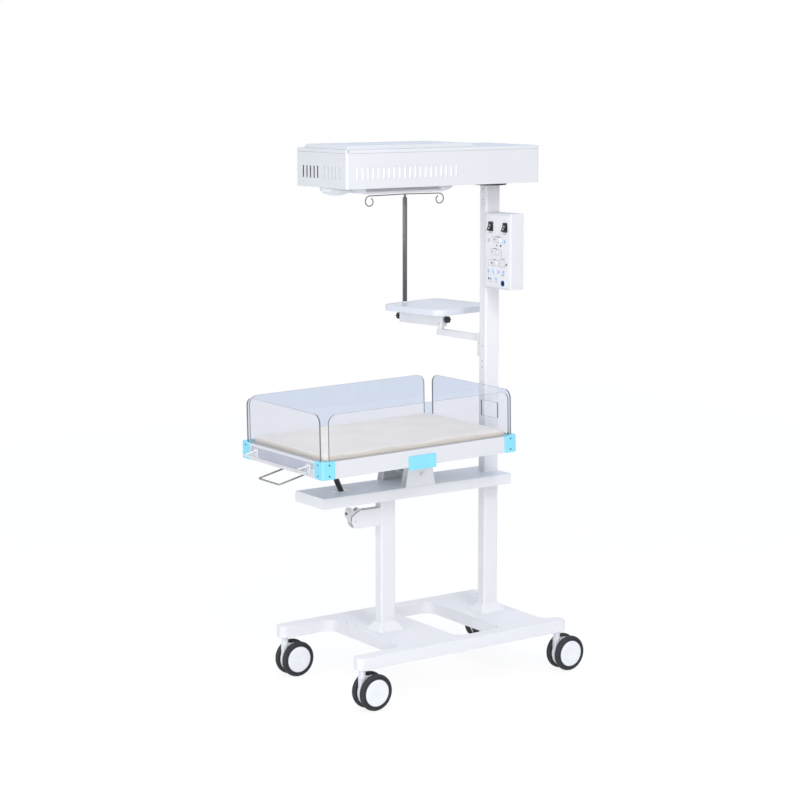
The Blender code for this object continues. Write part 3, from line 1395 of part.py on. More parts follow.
def reflector_profile(offset):
    """Half of the trough's section from its middle to its rim, moved outwards by an offset."""
    points = []
    for step in range(7):
        x = REFLECTOR_HALF * step / 6
        z = REFLECTOR_RIM_Z + REFLECTOR_DEPTH * (1 - (step / 6) ** 2)
        slope = -2 * REFLECTOR_DEPTH * (step / 6) / REFLECTOR_HALF
        normal = Vector((-slope, 1)).normalized()
        points.append((x + normal.x * offset, z + normal.y * offset))
    return points


def reflector(head):
    """A polished trough of sheet, with end cheeks, that throws the heater's warmth on the bed."""
    outer, inner = reflector_profile(REFLECTOR_SHEET), reflector_profile(0)
    lip_outer = [(REFLECTOR_HALF + REFLECTOR_SHEET, REFLECTOR_RIM_Z - REFLECTOR_LIP)]
    lip_inner = [(REFLECTOR_HALF - 0.0005, REFLECTOR_RIM_Z - REFLECTOR_LIP)]
    right = outer + lip_outer + lip_inner + list(reversed(inner))[:-1]
    left_inner = [(-x, z) for x, z in inner]
    left_outer = [(-x, z) for x, z in reversed(outer)][:-1]
    lip_left = [(-x, z) for x, z in lip_inner + lip_outer]
    section = right + left_inner + lip_left + left_outer
    low, high = REFLECTOR_Y
    trough = moved(prism([section], 0, high - low), (0, high, 0), (math.pi / 2, 0, 0))
    body = piece("reflector", trough, "steel", head)
    cheek = [(x, z) for x, z in outer] + lip_outer
    cheek += [(-x, z) for x, z in reversed(cheek)][:-1]
    for y in (low, high - REFLECTOR_SHEET):
        plate = moved(prism([cheek], 0, REFLECTOR_SHEET), (0, y + REFLECTOR_SHEET, 0), (math.pi / 2, 0, 0))
        boolean(body, plate, head, operation="UNION")


def heater(head):
    """A quartz heater tube with ceramic ends across the trough, and the wire guard under it."""
    low, high = REFLECTOR_Y[0] + REFLECTOR_SHEET + SEAT, REFLECTOR_Y[1] - REFLECTOR_SHEET - SEAT
    cap = 0.022
    profile = [
        (0, high),
        (HEATER_RADIUS + 0.004, high),
        (HEATER_RADIUS + 0.004, high - cap),
        (HEATER_RADIUS, high - cap),
        (HEATER_RADIUS, low + cap),
        (HEATER_RADIUS + 0.004, low + cap),
        (HEATER_RADIUS + 0.004, low),
        (0, low),
    ]
    tube = moved(turned(profile, 12), turn=(-math.pi / 2, 0, 0))
    piece("heater_tube", tube, "quartz", head, (0, 0, HEATER_Z))
    guard_z = REFLECTOR_RIM_Z - REFLECTOR_LIP + 0.004
    half = REFLECTOR_HALF - 0.0005 - SEAT
    edge = GUARD_RIM
    rim = rectangle((-half, half), (low, high))
    inner = rectangle((-half + edge, half - edge), (low + edge, high - edge))
    guard = piece("heater_guard", prism([rim, inner], guard_z - edge / 2, guard_z + edge / 2), "chrome", head)
    count = int((high - low) / GUARD_PITCH)
    pitch = (high - low) / (count + 1)
    reach = half - 0.001
    bars = [
        moved(cylinder(GUARD_WIRE, -reach, reach, 6, "X"), (0, low + pitch * (index + 1), guard_z))
        for index in range(count)
    ]
    boolean(guard, many(bars), head, operation="UNION")


# Instrument tray on its arm, with the infusion pole


def tray_arm():
    """A plate on the column's side, a square tube and a short post that the tray turns on."""
    plate_x, plate_y, plate_z = ARM_PLATE
    side = -COLUMN_X / 2 - SEAT
    span_y = (REAR_COLUMN_Y - plate_y / 2, REAR_COLUMN_Y + plate_y / 2)
    span_z = (ARM_PLATE_Z - plate_z / 2, ARM_PLATE_Z + plate_z / 2)
    arm = piece("tray_arm", span_box((side - plate_x, side), span_y, span_z), "white", ORIGIN)
    start = Vector((side - plate_x / 2, REAR_COLUMN_Y - 0.005))
    end = Vector(TRAY_PIVOT)
    along = start - end
    half = TRAY_ARM_SIZE / 2
    yaw = math.atan2(along.y, along.x)
    tube = span_box((-half - 0.003, along.length), (-half, half), (-half, half))
    boolean(arm, tube, ORIGIN, (end.x, end.y, TRAY_ARM_Z), (0, 0, yaw), "UNION")
    post = cylinder(TRAY_POST_RADIUS, TRAY_ARM_Z, TRAY_POST_TOP, 16)
    boolean(arm, post, ORIGIN, (end.x, end.y, 0), operation="UNION")


def holder_bracket(swing):
    """The turning bracket under the tray: bored for the post at one end and for the pole at the other."""
    half = HOLDER_WIDTH / 2
    outline = rectangle((POLE_U - half, HOLDER_END_U), (-half, half), 0.010, 3)
    bracket = piece("tray_bracket", prism([outline], *HOLDER_Z), "white", swing)
    post_bore = cylinder(TRAY_POST_RADIUS + SEAT, HOLDER_Z[0] - 0.01, TRAY_POST_TOP + 0.002, 16)
    boolean(bracket, post_bore, swing)
    pole_bore = cylinder(POLE_RADIUS + SEAT, HOLDER_Z[0] - 0.01, HOLDER_Z[1] + 0.01, 16)
    boolean(bracket, pole_bore, swing, (POLE_U, 0, 0))
    middle = sum(HOLDER_Z) / 2
    pivot_screw = cylinder(KNOB_STEM_RADIUS + SEAT, HOLDER_END_U - 0.006, HOLDER_END_U + 0.01, 12, "X")
    boolean(bracket, pivot_screw, swing, (0, 0, middle))
    pole_screw = cylinder(KNOB_STEM_RADIUS + SEAT, POLE_U - half - 0.01, POLE_U - half + 0.006, 12, "X")
    boolean(bracket, pole_screw, swing, (0, 0, middle - POLE_KNOB_DROP))


def instrument_tray(swing):
    """A flat tray with round corners and a shallow dish, notched for the pole."""
    outline = rectangle(INSTRUMENT_TRAY_U, INSTRUMENT_TRAY_V, INSTRUMENT_TRAY_CORNER, 4)
    low, high = INSTRUMENT_TRAY_Z
    tray = piece("instrument_tray", prism([outline], low, high), "white", swing)
    bevelled(tray, 0.002)
    rim = TRAY_RIM
    dish_u = (INSTRUMENT_TRAY_U[0] + rim, INSTRUMENT_TRAY_U[1] - rim)
    dish_v = (INSTRUMENT_TRAY_V[0] + rim, INSTRUMENT_TRAY_V[1] - rim)
    dish = rectangle(dish_u, dish_v, INSTRUMENT_TRAY_CORNER - rim, 4)
    boolean(tray, prism([dish], high - TRAY_DISH, high + 0.01), swing)
    notch = cylinder(POLE_RADIUS + RUNNING, low - 0.01, high + 0.01, 16)
    boolean(tray, notch, swing, (POLE_U, 0, 0))


def star_knob(name, axis, outwards):
    """A clamping knob with lobes and a short screw. Its own +X points out of the bracket."""
    lobes = 6
    outline = []
    for step in range(lobes * 4):
        angle = 2 * math.pi * step / (lobes * 4)
        radius = KNOB_RADIUS * (0.90 + 0.10 * math.cos(lobes * angle))
        outline.append((radius * math.cos(angle), radius * math.sin(angle)))
    head = moved(prism([outline], KNOB_STEM, KNOB_STEM + KNOB_DEPTH), turn=(0, math.pi / 2, 0))
    seat = empty(name + "_axis", axis, outwards[0], (0, 0, outwards[1]))
    knob = piece(name, head, "black", seat)
    bevelled(knob, 0.0015)
    stem = cylinder(KNOB_STEM_RADIUS, -0.005, KNOB_STEM + 0.002, 12, "X")
    boolean(knob, stem, seat, operation="UNION")


def infusion_pole(swing):
    """A chrome pole through the holder, and the two-ended hook wire on top of it."""
    pole_axis = empty("pole_axis", swing, (POLE_U, 0, 0), (0, 0, -TRAY_YAW))
    low, high = POLE_Z
    profile = [
        (0, high),
        (POLE_RADIUS - 0.003, high),
        (POLE_RADIUS - 0.001, high - 0.002),
        (POLE_RADIUS, high - 0.004),
        (POLE_RADIUS, low + 0.001),
        (POLE_RADIUS - 0.001, low),
        (0, low),
    ]
    pole = piece("infusion_pole", turned(profile, 16), "chrome", pole_axis)
    half = HOOK_SPAN / 2 - HOOK_LOOP
    bow = []
    for step in range(5):
        share = step / 4
        bow.append((0, half * share, HOOK_Z - high + 0.002 * (1 - share)))
    curl = []
    for step in range(1, 13):
        angle = math.pi / 2 - step / 12 * math.radians(330)
        radius = HOOK_LOOP * (1 - 0.4 * (step / 12) ** 2)
        height = HOOK_Z - high - HOOK_LOOP + radius * math.sin(angle)
        curl.append((0, half + radius * math.cos(angle), height))
    right = bow + curl
    left = [(x, -y, z) for x, y, z in reversed(right)]
    path = [Vector(point) for point in left[:-1] + right]
    cap = cylinder(POLE_RADIUS - 0.004, high - 0.002, HOOK_Z + 0.004, 12)
    boolean(pole, cap, pole_axis, operation="UNION")
    boolean(pole, wire(path, HOOK_WIRE, 1), pole_axis, (0, 0, high), operation="UNION")


def tray_group():
    swing = empty("tray_axis", ORIGIN, (*TRAY_PIVOT, 0), (0, 0, TRAY_YAW))
    holder_bracket(swing)
    instrument_tray(swing)
    middle = sum(HOLDER_Z) / 2
    star_knob("pivot_knob", swing, ((HOLDER_END_U, 0, middle), 0))
    pole_side = (POLE_U - HOLDER_WIDTH / 2, 0, middle - POLE_KNOB_DROP)
    star_knob("pole_knob", swing, (pole_side, math.pi))
    infusion_pole(swing)


def build():
    base_frame()
    collars()
    columns()
    top_beam()
    hinge_rod()
    strut_arm()
    strut_clevis()
    control_box()
    control_panel()
    rocker_switches()
    casters()
    bed = empty("bed_axis", ORIGIN, (0, TILT_Y, TILT_Z), (REST_TILT, 0, 0))
    bed_tray(bed)
    corner_blocks(bed)
    side_plates(bed)
    bed_panels(bed)
    mattress(bed)
    bed_hinge_frame(bed)
    bed_foot_mount(bed)
    foot_rail(bed)
    release_handle(bed)
    gas_strut(bed)
    head = empty("head_axis", ORIGIN)
    head_shell(head)
    vent_cover(head)
    head_base(head)
    swivel_disc()
    head_lamps(head)
    reflector(head)
    heater(head)
    tray_arm()
    tray_group()


def centre_on_origin():
    """Moves the whole part so that the middle of its box's underside is the origin."""
    bpy.context.view_layer.update()
    graph = bpy.context.evaluated_depsgraph_get()
    corners = []
    for obj in PARTS.objects:
        if obj.type == "MESH":
            seen = obj.evaluated_get(graph)
            corners += [seen.matrix_world @ vert.co for vert in seen.data.vertices]
    low = [min(corner[axis] for corner in corners) for axis in range(3)]
    high = [max(corner[axis] for corner in corners) for axis in range(3)]
    ORIGIN.location = (-(low[0] + high[0]) / 2, -(low[1] + high[1]) / 2, -low[2])


build()
centre_on_origin()
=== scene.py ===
"""Infant radiant warmer: looks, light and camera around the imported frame.

Lengths are metres in the frame of the CAD: +Z is up, -Y is the bed's foot end and +Y the column's side.
"""

import json
import math

import bmesh
import bpy
from mathutils import Matrix, Vector


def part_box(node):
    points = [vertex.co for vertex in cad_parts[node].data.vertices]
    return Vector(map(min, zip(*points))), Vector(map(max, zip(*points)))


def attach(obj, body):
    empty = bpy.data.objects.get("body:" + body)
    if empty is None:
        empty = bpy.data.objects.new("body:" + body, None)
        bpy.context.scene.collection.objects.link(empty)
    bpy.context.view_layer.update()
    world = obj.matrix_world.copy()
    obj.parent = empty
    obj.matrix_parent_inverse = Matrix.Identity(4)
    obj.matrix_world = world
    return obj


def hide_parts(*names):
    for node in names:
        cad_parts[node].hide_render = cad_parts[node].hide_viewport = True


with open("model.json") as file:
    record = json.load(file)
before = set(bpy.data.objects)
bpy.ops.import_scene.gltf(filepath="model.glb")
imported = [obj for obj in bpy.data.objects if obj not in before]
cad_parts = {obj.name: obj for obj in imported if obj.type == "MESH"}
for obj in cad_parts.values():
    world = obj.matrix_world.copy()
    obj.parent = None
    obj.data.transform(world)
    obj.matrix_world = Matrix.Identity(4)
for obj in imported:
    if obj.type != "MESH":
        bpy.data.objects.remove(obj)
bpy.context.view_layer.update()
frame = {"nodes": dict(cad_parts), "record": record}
NODES = frame["nodes"]
BODIES = frame["record"]["behaviour"]["bodies"]
BODY_OF = {node: body for body, members in BODIES.items() for node in members}


def moved(x, y, z):
    return Matrix.Translation((x, y, z))


def turned(degrees, axis):
    return Matrix.Rotation(math.radians(degrees), 4, axis)


def middle(node):
    low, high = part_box(node)
    return (low + high) / 2


def own_box(node, place):
    """Low and high corners of a CAD node along the axes of its assembly."""
    spots = [place.inverted() @ vert.co for vert in NODES[node].data.vertices]
    low = Vector([min(spot[axis] for spot in spots) for axis in range(3)])
    high = Vector([max(spot[axis] for spot in spots) for axis in range(3)])
    return low, high


# Frames of the assemblies: the stand, the bed at its rest tilt and the swung tray

COLUMN_BACK = 0.290
HINGE = (0, -0.060, 0.737)
REST_TILT = 1.04
TRAY_POST = (-0.255, 0.268, 0)
TRAY_YAW = 10
COLUMN = middle("rear_column")
STAND = moved(COLUMN.x, COLUMN.y - COLUMN_BACK, 0)
BED = STAND @ moved(*HINGE) @ turned(REST_TILT, "X")
SWING = STAND @ moved(*TRAY_POST) @ turned(TRAY_YAW, "Z")

# UPRIGHT stands a flat drawing up to face the foot end, and ACROSS lays a turned shape along X
UPRIGHT = turned(90, "X")
ACROSS = turned(90, "Y")

# Camera, in the stand's frame
EYE = (5.7778, -4.1225, 2.1122)
LOOK = Vector((-0.80990, 0.56497, -0.15790))
LENS = 93.54


# Shader nodes


def feed(tree, node, inputs):
    """Sets a node's sockets to values, or links them to the outputs of other nodes."""
    for key, value in inputs.items():
        if isinstance(value, bpy.types.NodeSocket):
            tree.links.new(value, node.inputs[key])
        else:
            node.inputs[key].default_value = value


def add(tree, kind, inputs=None, **settings):
    node = tree.nodes.new("ShaderNode" + kind)
    for name, value in settings.items():
        setattr(node, name, value)
    feed(tree, node, inputs or {})
    return node


def maths(tree, operation, *values):
    return add(tree, "Math", dict(enumerate(values)), operation=operation).outputs["Value"]


def noise(tree, vector, scale, detail=3.0):
    return add(tree, "TexNoise", {"Scale": scale, "Detail": detail, "Vector": vector}).outputs["Fac"]


def spread(tree, value, low, high):
    """A noise's usual range stretched to other limits."""
    limits = {"From Min": 0.3, "From Max": 0.7, "To Min": low, "To Max": high, "Value": value}
    return add(tree, "MapRange", limits).outputs["Result"]


def eased_in(tree, value, low, high):
    """Zero below one limit, one above the other, and a soft step between them."""
    limits = {"From Min": low, "From Max": high, "Value": value}
    return add(tree, "MapRange", limits, interpolation_type="SMOOTHSTEP").outputs["Result"]


def tinted(tree, share, first, second):
    """From one colour to another, each of them a value or the output of a node."""
    inputs = {"Factor": share}
    for key, colour in (("A", first), ("B", second)):
        inputs[key] = colour if isinstance(colour, bpy.types.NodeSocket) else (*colour, 1)
    return add(tree, "Mix", inputs, data_type="RGBA").outputs["Result"]


def bumped(tree, height, distance, strength, normal=None):
    inputs = {"Distance": distance, "Strength": strength, "Height": height}
    if normal is not None:
        inputs["Normal"] = normal
    return add(tree, "Bump", inputs).outputs["Normal"]


def blend(tree, output, share, first, second):
    """Sends a mix of two shaders to the output of a tree."""
    inputs = {"Fac": share, 1: first.outputs[0], 2: second.outputs[0]}
    mix = add(tree, "MixShader", inputs)
    feed(tree, tree.nodes[output], {"Surface": mix.outputs["Shader"]})


def blank(name):
    """A new material, its node tree and its own shader."""
    made = bpy.data.materials.new(name)
    made.use_nodes = True
    return made, made.node_tree, made.node_tree.nodes["Principled BSDF"]


# Materials


def finish(name, colour, rough, metal=0, tone=0.03, patch=4, grain=900, relief=0.00001, drawn=1, sheen=0):
    """A procedural surface: slow changes of tone, uneven gloss and a fine relief, squeezed in Y if drawn."""
    made, tree, shader = blank(name)
    vector = add(tree, "TexCoord").outputs["Object"]
    if drawn != 1:
        vector = add(tree, "Mapping", {"Scale": (1, drawn, 1), "Vector": vector}).outputs["Vector"]
    dark = [value * (1 - tone) for value in colour]
    light = [min(1.0, value * (1 + tone)) for value in colour]
    clouds = spread(tree, noise(tree, vector, patch), 0, 1)
    inputs = {
        "Base Color": tinted(tree, clouds, dark, light),
        "Roughness": spread(tree, noise(tree, vector, patch * 7), rough * 0.85, rough * 1.15),
        "Normal": bumped(tree, noise(tree, vector, grain, 2.0), relief, 0.6),
        "Metallic": metal,
        "Sheen Weight": sheen,
    }
    feed(tree, shader, inputs)
    return made


def powder(name, colour, rough=0.42):
    return finish(name, colour, rough, tone=0.015, relief=0.00002)


def acrylic(name, tint):
    """Clear sheet: it passes light with a faint tint and mirrors at a slant, with slight waves."""
    made, tree, shader = blank(name)
    tree.nodes.remove(shader)
    vector = add(tree, "TexCoord").outputs["Object"]
    dark = [value * 0.985 for value in tint]
    clouds = spread(tree, noise(tree, vector, 3.0), 0, 1)
    clear = add(tree, "BsdfTransparent", {"Color": tinted(tree, clouds, dark, tint)})
    smears = spread(tree, noise(tree, vector, 30.0), 0.015, 0.05)
    waves = bumped(tree, noise(tree, vector, 6.0, 1.0), 0.0004, 0.2)
    gloss = add(tree, "BsdfGlossy", {"Roughness": smears, "Normal": waves})
    facing = add(tree, "LayerWeight", {"Blend": 0.5}).outputs["Facing"]
    mirror = maths(tree, "MULTIPLY_ADD", maths(tree, "POWER", facing, 5.0), 0.92, 0.035)
    blend(tree, "Material Output", mirror, clear, gloss)
    return made


def woven(made, thread, depth):
    """Adds a fine woven relief to a finish."""
    tree = made.node_tree
    shader = tree.nodes["Principled BSDF"]
    vector = add(tree, "TexCoord").outputs["Object"]
    waves = []
    for direction in "XY":
        inputs = {"Scale": 0.1 / thread, "Distortion": 0.6, "Vector": vector}
        waves.append(add(tree, "TexWave", inputs, bands_direction=direction).outputs["Fac"])
    grain = shader.inputs["Normal"].links[0].from_socket
    feed(tree, shader, {"Normal": bumped(tree, maths(tree, "MULTIPLY", *waves), depth, 0.5, grain)})


POWDER = powder("powder_coat", (0.845, 0.845, 0.855), 0.40)
# The heater head: painted shade, a darker copy of the white powder coat.
POWDER_HEAD_PAINTED_SHADE = powder("powder_coat_head_painted_shade", (0.73, 0.74, 0.75))
# The bed tray: painted shade, a darker copy of the white powder coat.
POWDER_BED_PAINTED_SHADE = powder("powder_coat_bed_painted_shade", (0.745, 0.75, 0.765))
# The control box: painted shade, a darker copy of the white powder coat.
POWDER_BOX_PAINTED_SHADE = powder("powder_coat_box_painted_shade", (0.765, 0.77, 0.775))
# Top of the beam: painted shade, a bluer copy of the white powder coat, for the light from above.
POWDER_BEAM_TOP_PAINTED_SHADE = powder("powder_coat_beam_top_painted_shade", (0.76, 0.815, 0.88))
# Tops of the box, the head's lid and the vent cover: painted shade, a darker and bluer copy of the white
# powder coat, for the light from above.
POWDER_TOP_PAINTED_SHADE = powder("powder_coat_top_painted_shade", (0.63, 0.70, 0.785))
# The tray plate: painted shade, a darker and bluer copy of the white powder coat, for the light from above.
POWDER_TRAY_PAINTED_SHADE = finish("powder_coat_tray_painted_shade", (0.775, 0.805, 0.865), 0.34, tone=0.012, grain=700, relief=0.000012)
MOULDED = finish("white_moulding", (0.81, 0.815, 0.84), 0.30, tone=0.012, grain=350)
BLUE = finish("blue_moulding", (0.26, 0.72, 0.86), 0.34, tone=0.025, patch=25, grain=500, relief=0.00002)
DEEP_BLUE = finish("blue_socket", (0.003, 0.012, 0.14), 0.25, tone=0.15, patch=60, grain=400, relief=0.00003)
CYAN_RING = finish("cyan_ring", (0.66, 0.88, 0.95), 0.35, tone=0.05, patch=60, grain=400, relief=0.00003)
BLACK = finish("black_moulding", (0.012, 0.012, 0.015), 0.42, tone=0.2, patch=40, relief=0.0001)
BLACK_STEEL = finish("black_steel", (0.014, 0.014, 0.018), 0.30, 0, 0.2, patch=30, grain=500, relief=0.00005)
RUBBER = finish("tyre_rubber", (0.020, 0.021, 0.026), 0.62, tone=0.22, patch=50, grain=1200, relief=0.0002)
CHROME = finish("chrome", (0.74, 0.74, 0.745), 0.24, 1.0, tone=0.04, patch=30, grain=150, relief=0.000004)
# The pole and hook are bright chrome; this dark base colour is painted dark reflection.
CHROME_POLE_PAINTED_DARK = finish("chrome_pole_painted_dark_reflection", (0.15, 0.15, 0.16), 0.22, 1.0, 0.04, patch=20, grain=60, relief=0.000004)
# The handle's bright steel wire; this dark base colour is painted dark reflection.
WIRE_PAINTED_DARK = finish("wire_steel_painted_dark_reflection", (0.34, 0.335, 0.325), 0.45, 1.0, tone=0.05, patch=30, grain=300)
ZINC = finish("zinc_steel", (0.42, 0.42, 0.44), 0.34, 1.0, tone=0.10, patch=90, relief=0.00008)
CLEVIS = finish("clevis_steel", (0.68, 0.68, 0.70), 0.42, 0.75, 0.06, patch=60, grain=700, relief=0.00006)
MIRROR = finish("reflector_sheet", (0.80, 0.81, 0.83), 0.16, 1.0, patch=8, grain=60, relief=0.00008, drawn=8)
FROSTED = finish("lamp_lens", (0.72, 0.74, 0.78), 0.28, patch=20, grain=260, relief=0.0003)
QUARTZ = finish("quartz_tube", (0.80, 0.74, 0.68), 0.22, tone=0.06, patch=30, grain=400, relief=0.00005)
OVERLAY = finish("panel_overlay", (0.86, 0.86, 0.88), 0.30, tone=0.02, patch=14, grain=1500, relief=0.00003)
PRINT_GREY = finish("print_grey", (0.20, 0.21, 0.27), 0.4, tone=0.15, patch=80)
PRINT_DARK = finish("print_dark", (0.008, 0.008, 0.012), 0.4, tone=0.2, patch=80)
PRINT_WHITE = finish("print_white", (0.95, 0.955, 0.97), 0.4, tone=0.02, patch=80)
WINDOW = finish("display_window", (0.95, 0.95, 0.945), 0.12, tone=0.05, patch=40)
DIGIT = finish("display_digit", (0.03, 0.033, 0.055), 0.25, tone=0.2, patch=90)
KEY_BLUE = finish("key_blue", (0.30, 0.50, 0.82), 0.38, tone=0.06, patch=60, relief=0.00003)
KEY_TEAL = finish("key_teal", (0.28, 0.58, 0.76), 0.38, tone=0.06, patch=60, relief=0.00003)
KEY_LILAC = finish("key_lilac", (0.45, 0.43, 0.84), 0.38, tone=0.06, patch=60, relief=0.00003)
LED_GREEN = finish("led_green", (0.25, 0.70, 0.38), 0.25, tone=0.1, patch=90)
CREAM = finish("mattress_cover", (0.94, 0.885, 0.81), 0.55, 0, 0.035, 7, 260, relief=0.0003, sheen=0.08)
# Sides of the mattress: painted shade, a darker copy of its cream cover.
CREAM_SIDE_PAINTED_SHADE = finish("mattress_side_painted_shade", (0.80, 0.73, 0.635), 0.55, 0, 0.035, 9, 260, relief=0.0003)
SEAM = finish("mattress_seam", (0.70, 0.63, 0.54), 0.6, tone=0.05, patch=20, grain=500, relief=0.0002)
# Grey of the plate on the foot wall: painted shade.
INSERT_PAINTED_SHADE = finish("foot_wall_painted_shade", (0.50, 0.515, 0.585), 0.45, patch=12, grain=700, relief=0.00006)
# Dark of the column's holes: painted shade.
HOLE_PAINTED_SHADE = finish("hole_painted_shade", (0.16, 0.165, 0.19), 0.5, tone=0.1, patch=80, relief=0.00002)
BLOCK_SCREW = finish("block_screw", (0.035, 0.16, 0.30), 0.35, 0.6, tone=0.15, patch=80, relief=0.00005)
# A brighter white than the head's paint: painted light, for the slot liners and the reflector's shaded
# outside.
LINER_PAINTED_LIGHT = finish("slot_liner_painted_light", (0.90, 0.91, 0.93), 0.35, tone=0.02, patch=20, grain=600, relief=0.00005)
WHEEL_DISC = finish("wheel_disc", (0.88, 0.885, 0.90), 0.32, 0, 0.006, 14, 300, relief=0.000005)
# Rim of the acrylic sheets: painted shade.
RIM_PAINTED_SHADE = finish("acrylic_rim_painted_shade", (0.15, 0.155, 0.185), 0.18, tone=0.25, patch=12, grain=500, relief=0.00008)
ACRYLIC = acrylic("clear_acrylic", (0.975, 0.978, 0.986))
for cover in (CREAM, CREAM_SIDE_PAINTED_SHADE):
    woven(cover, thread=0.0012, depth=0.00012)


# Mesh building


def around(steps):
    """Cosine and sine of even steps round a circle."""
    turns = [2 * math.pi * step / steps for step in range(steps)]
    return [(math.cos(turn), math.sin(turn)) for turn in turns]


def skin(rings, closed=False, capped=True):
    """A surface through rings of points, where a ring of one point is a tip."""
    bm = bmesh.new()
    rings = [[bm.verts.new(point) for point in ring] for ring in rings]
    count = len(rings)
    for index in range(count if closed else count - 1):
        first, second = rings[index], rings[(index + 1) % count]
        sides = max(len(first), len(second))
        for step in range(sides):
            after = (step + 1) % sides
            corners = []
            for ring, at in ((first, step), (first, after), (second, after), (second, step)):
                vert = ring[at % len(ring)]
                if vert not in corners:
                    corners.append(vert)
            if len(corners) > 2:
                bm.faces.new(corners)
    if capped:
        bm.faces.new(rings[0])
        bm.faces.new(rings[-1])
    return bm


def placed(shape, *matrices):
    for matrix in matrices:
        shape.transform(matrix)
    return shape


def lathe(profile, steps=48):
    """A turned shape, of pairs of radius and height that end on the axis or close on themselves."""
    rings = []
    for radius, height in profile:
        spots = around(steps) if radius else [(0, 0)]
        rings.append([(radius * x, radius * y, height) for x, y in spots])
    closed = profile[0][0] > 0 and profile[-1][0] > 0
    return skin(rings, closed, capped=False)


def eased(points, radius, steps=6):
    """A path with its corners rounded."""
    path = [Vector(points[0])]
    for before, here, after in zip(points, points[1:], points[2:]):
        before, here, after = Vector(before), Vector(here), Vector(after)
        reach = min(radius, (before - here).length / 2, (after - here).length / 2)
        start = here + (before - here).normalized() * reach
        end = here + (after - here).normalized() * reach
        for step in range(steps + 1):
            share = step / steps
            path.append(start.lerp(here, share).lerp(here.lerp(end, share), share))
    path.append(Vector(points[-1]))
    return path


def sweep(path, radius, sides=20, closed=False):
    """A round bar along a path, with slightly rounded ends."""
    path = [Vector(point) for point in path]
    count = len(path)
    stations = []
    for index, point in enumerate(path):
        ahead = path[(index + 1) % count] if closed or index + 1 < count else point
        behind = path[index - 1] if closed or index > 0 else point
        stations.append((point, (ahead - behind).normalized(), radius))
    if not closed:
        (start, out, _), (end, back, _) = stations[0], stations[-1]
        ease, narrow = radius * 0.3, radius * 0.72
        stations[0] = (start + out * ease, out, radius)
        stations[-1] = (end - back * ease, back, radius)
        stations = [(start, out, narrow), *stations, (end, back, narrow)]
    side = stations[0][1].orthogonal().normalized()
    rings = []
    for point, along, reach in stations:
        side = (side - along * side.dot(along)).normalized()
        up = along.cross(side)
        rings.append([point + (side * x + up * y) * reach for x, y in around(sides)])
    return skin(rings, closed, capped=not closed)


def rounded_outline(low, high, radius, steps=6):
    """A rectangle with round corners, as points from its lower right corner on."""
    points = []
    left, right = low[0] + radius, high[0] - radius
    bottom, top = low[1] + radius, high[1] - radius
    for x, y, start in ((right, bottom, -90), (right, top, 0), (left, top, 90), (left, bottom, 180)):
        for step in range(steps + 1):
            turn = math.radians(start + 90 * step / steps)
            points.append((x + radius * math.cos(turn), y + radius * math.sin(turn)))
    return points


def inset_outline(low, high, inset, radius, steps):
    """The rounded outline of a box seen from above, drawn in by an inset."""
    return rounded_outline((low.x + inset, low.y + inset), (high.x - inset, high.y - inset), radius, steps)


def slab(outline, bottom, top, edge=0.0):
    """An outline pulled up into a plate whose upper edge is chamfered."""
    centre = Vector((sum(x for x, _ in outline), sum(y for _, y in outline))) / len(outline)
    levels = [(bottom, 0.0), (top - edge, 0.0), (top, edge)] if edge else [(bottom, 0.0), (top, 0.0)]
    rings = []
    for level, inset in levels:
        ring = []
        for x, y in outline:
            inwards = (centre - Vector((x, y))).normalized() * inset
            ring.append((x + inwards.x, y + inwards.y, level))
        rings.append(ring)
    return skin(rings)


def screw_head(radius, height, place):
    """A domed head with a round recess, its back on the local XY plane."""
    shares = [(0, 0.35), (0.42, 0.35), (0.46, 1), (0.70, 1), (0.95, 0.6), (1, 0), (0, 0)]
    return placed(lathe([(radius * reach, height * level) for reach, level in shares], 18), place)


def meshed(name, shape):
    """A mesh made of a shape, with its faces looking outwards."""
    bmesh.ops.recalc_face_normals(shape, faces=shape.faces)
    mesh = bpy.data.meshes.new(name)
    shape.to_mesh(mesh)
    shape.free()
    return mesh


def joined(shapes):
    """Several shapes as one."""
    whole = bmesh.new()
    for shape in shapes:
        mesh = meshed("part", shape)
        whole.from_mesh(mesh)
        bpy.data.meshes.remove(mesh)
    return whole


def linked(name, data):
    obj = bpy.data.objects.new(name, data)
    bpy.context.scene.collection.objects.link(obj)
    return obj


def modify(obj, kind, **settings):
    modifier = obj.modifiers.new(kind.lower(), kind)
    for name, value in settings.items():
        setattr(modifier, name, value)
    return modifier


def settle(obj):
    """Applies every modifier of a piece to its mesh."""
    bpy.context.view_layer.update()
    graph = bpy.context.evaluated_depsgraph_get()
    mesh = bpy.data.meshes.new_from_object(obj.evaluated_get(graph))
    obj.modifiers.clear()
    obj.data = mesh


def part(name, shape, looks, node, place=None, sharp=35, slot=None):
    """A shape as a piece on the body of a CAD node. With a slot, it stands in for that node."""
    if place is not None:
        shape.transform(place)
    mesh = meshed(name, shape)
    mesh.shade_smooth()
    mesh.set_sharp_from_angle(angle=math.radians(sharp))
    for look in looks if isinstance(looks, list) else [looks]:
        mesh.materials.append(look)
    obj = linked(name, mesh)
    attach(obj, BODY_OF[node])
    if slot:
        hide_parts(node)
    return obj


def cad_copy(node):
    """A welded copy of a CAD node's mesh, with its flat faces joined up."""
    bm = bmesh.new()
    bm.from_mesh(NODES[node].data)
    bmesh.ops.remove_doubles(bm, verts=bm.verts, dist=1e-5)
    bmesh.ops.dissolve_limit(bm, angle_limit=math.radians(0.6), verts=bm.verts, edges=bm.edges)
    return bm


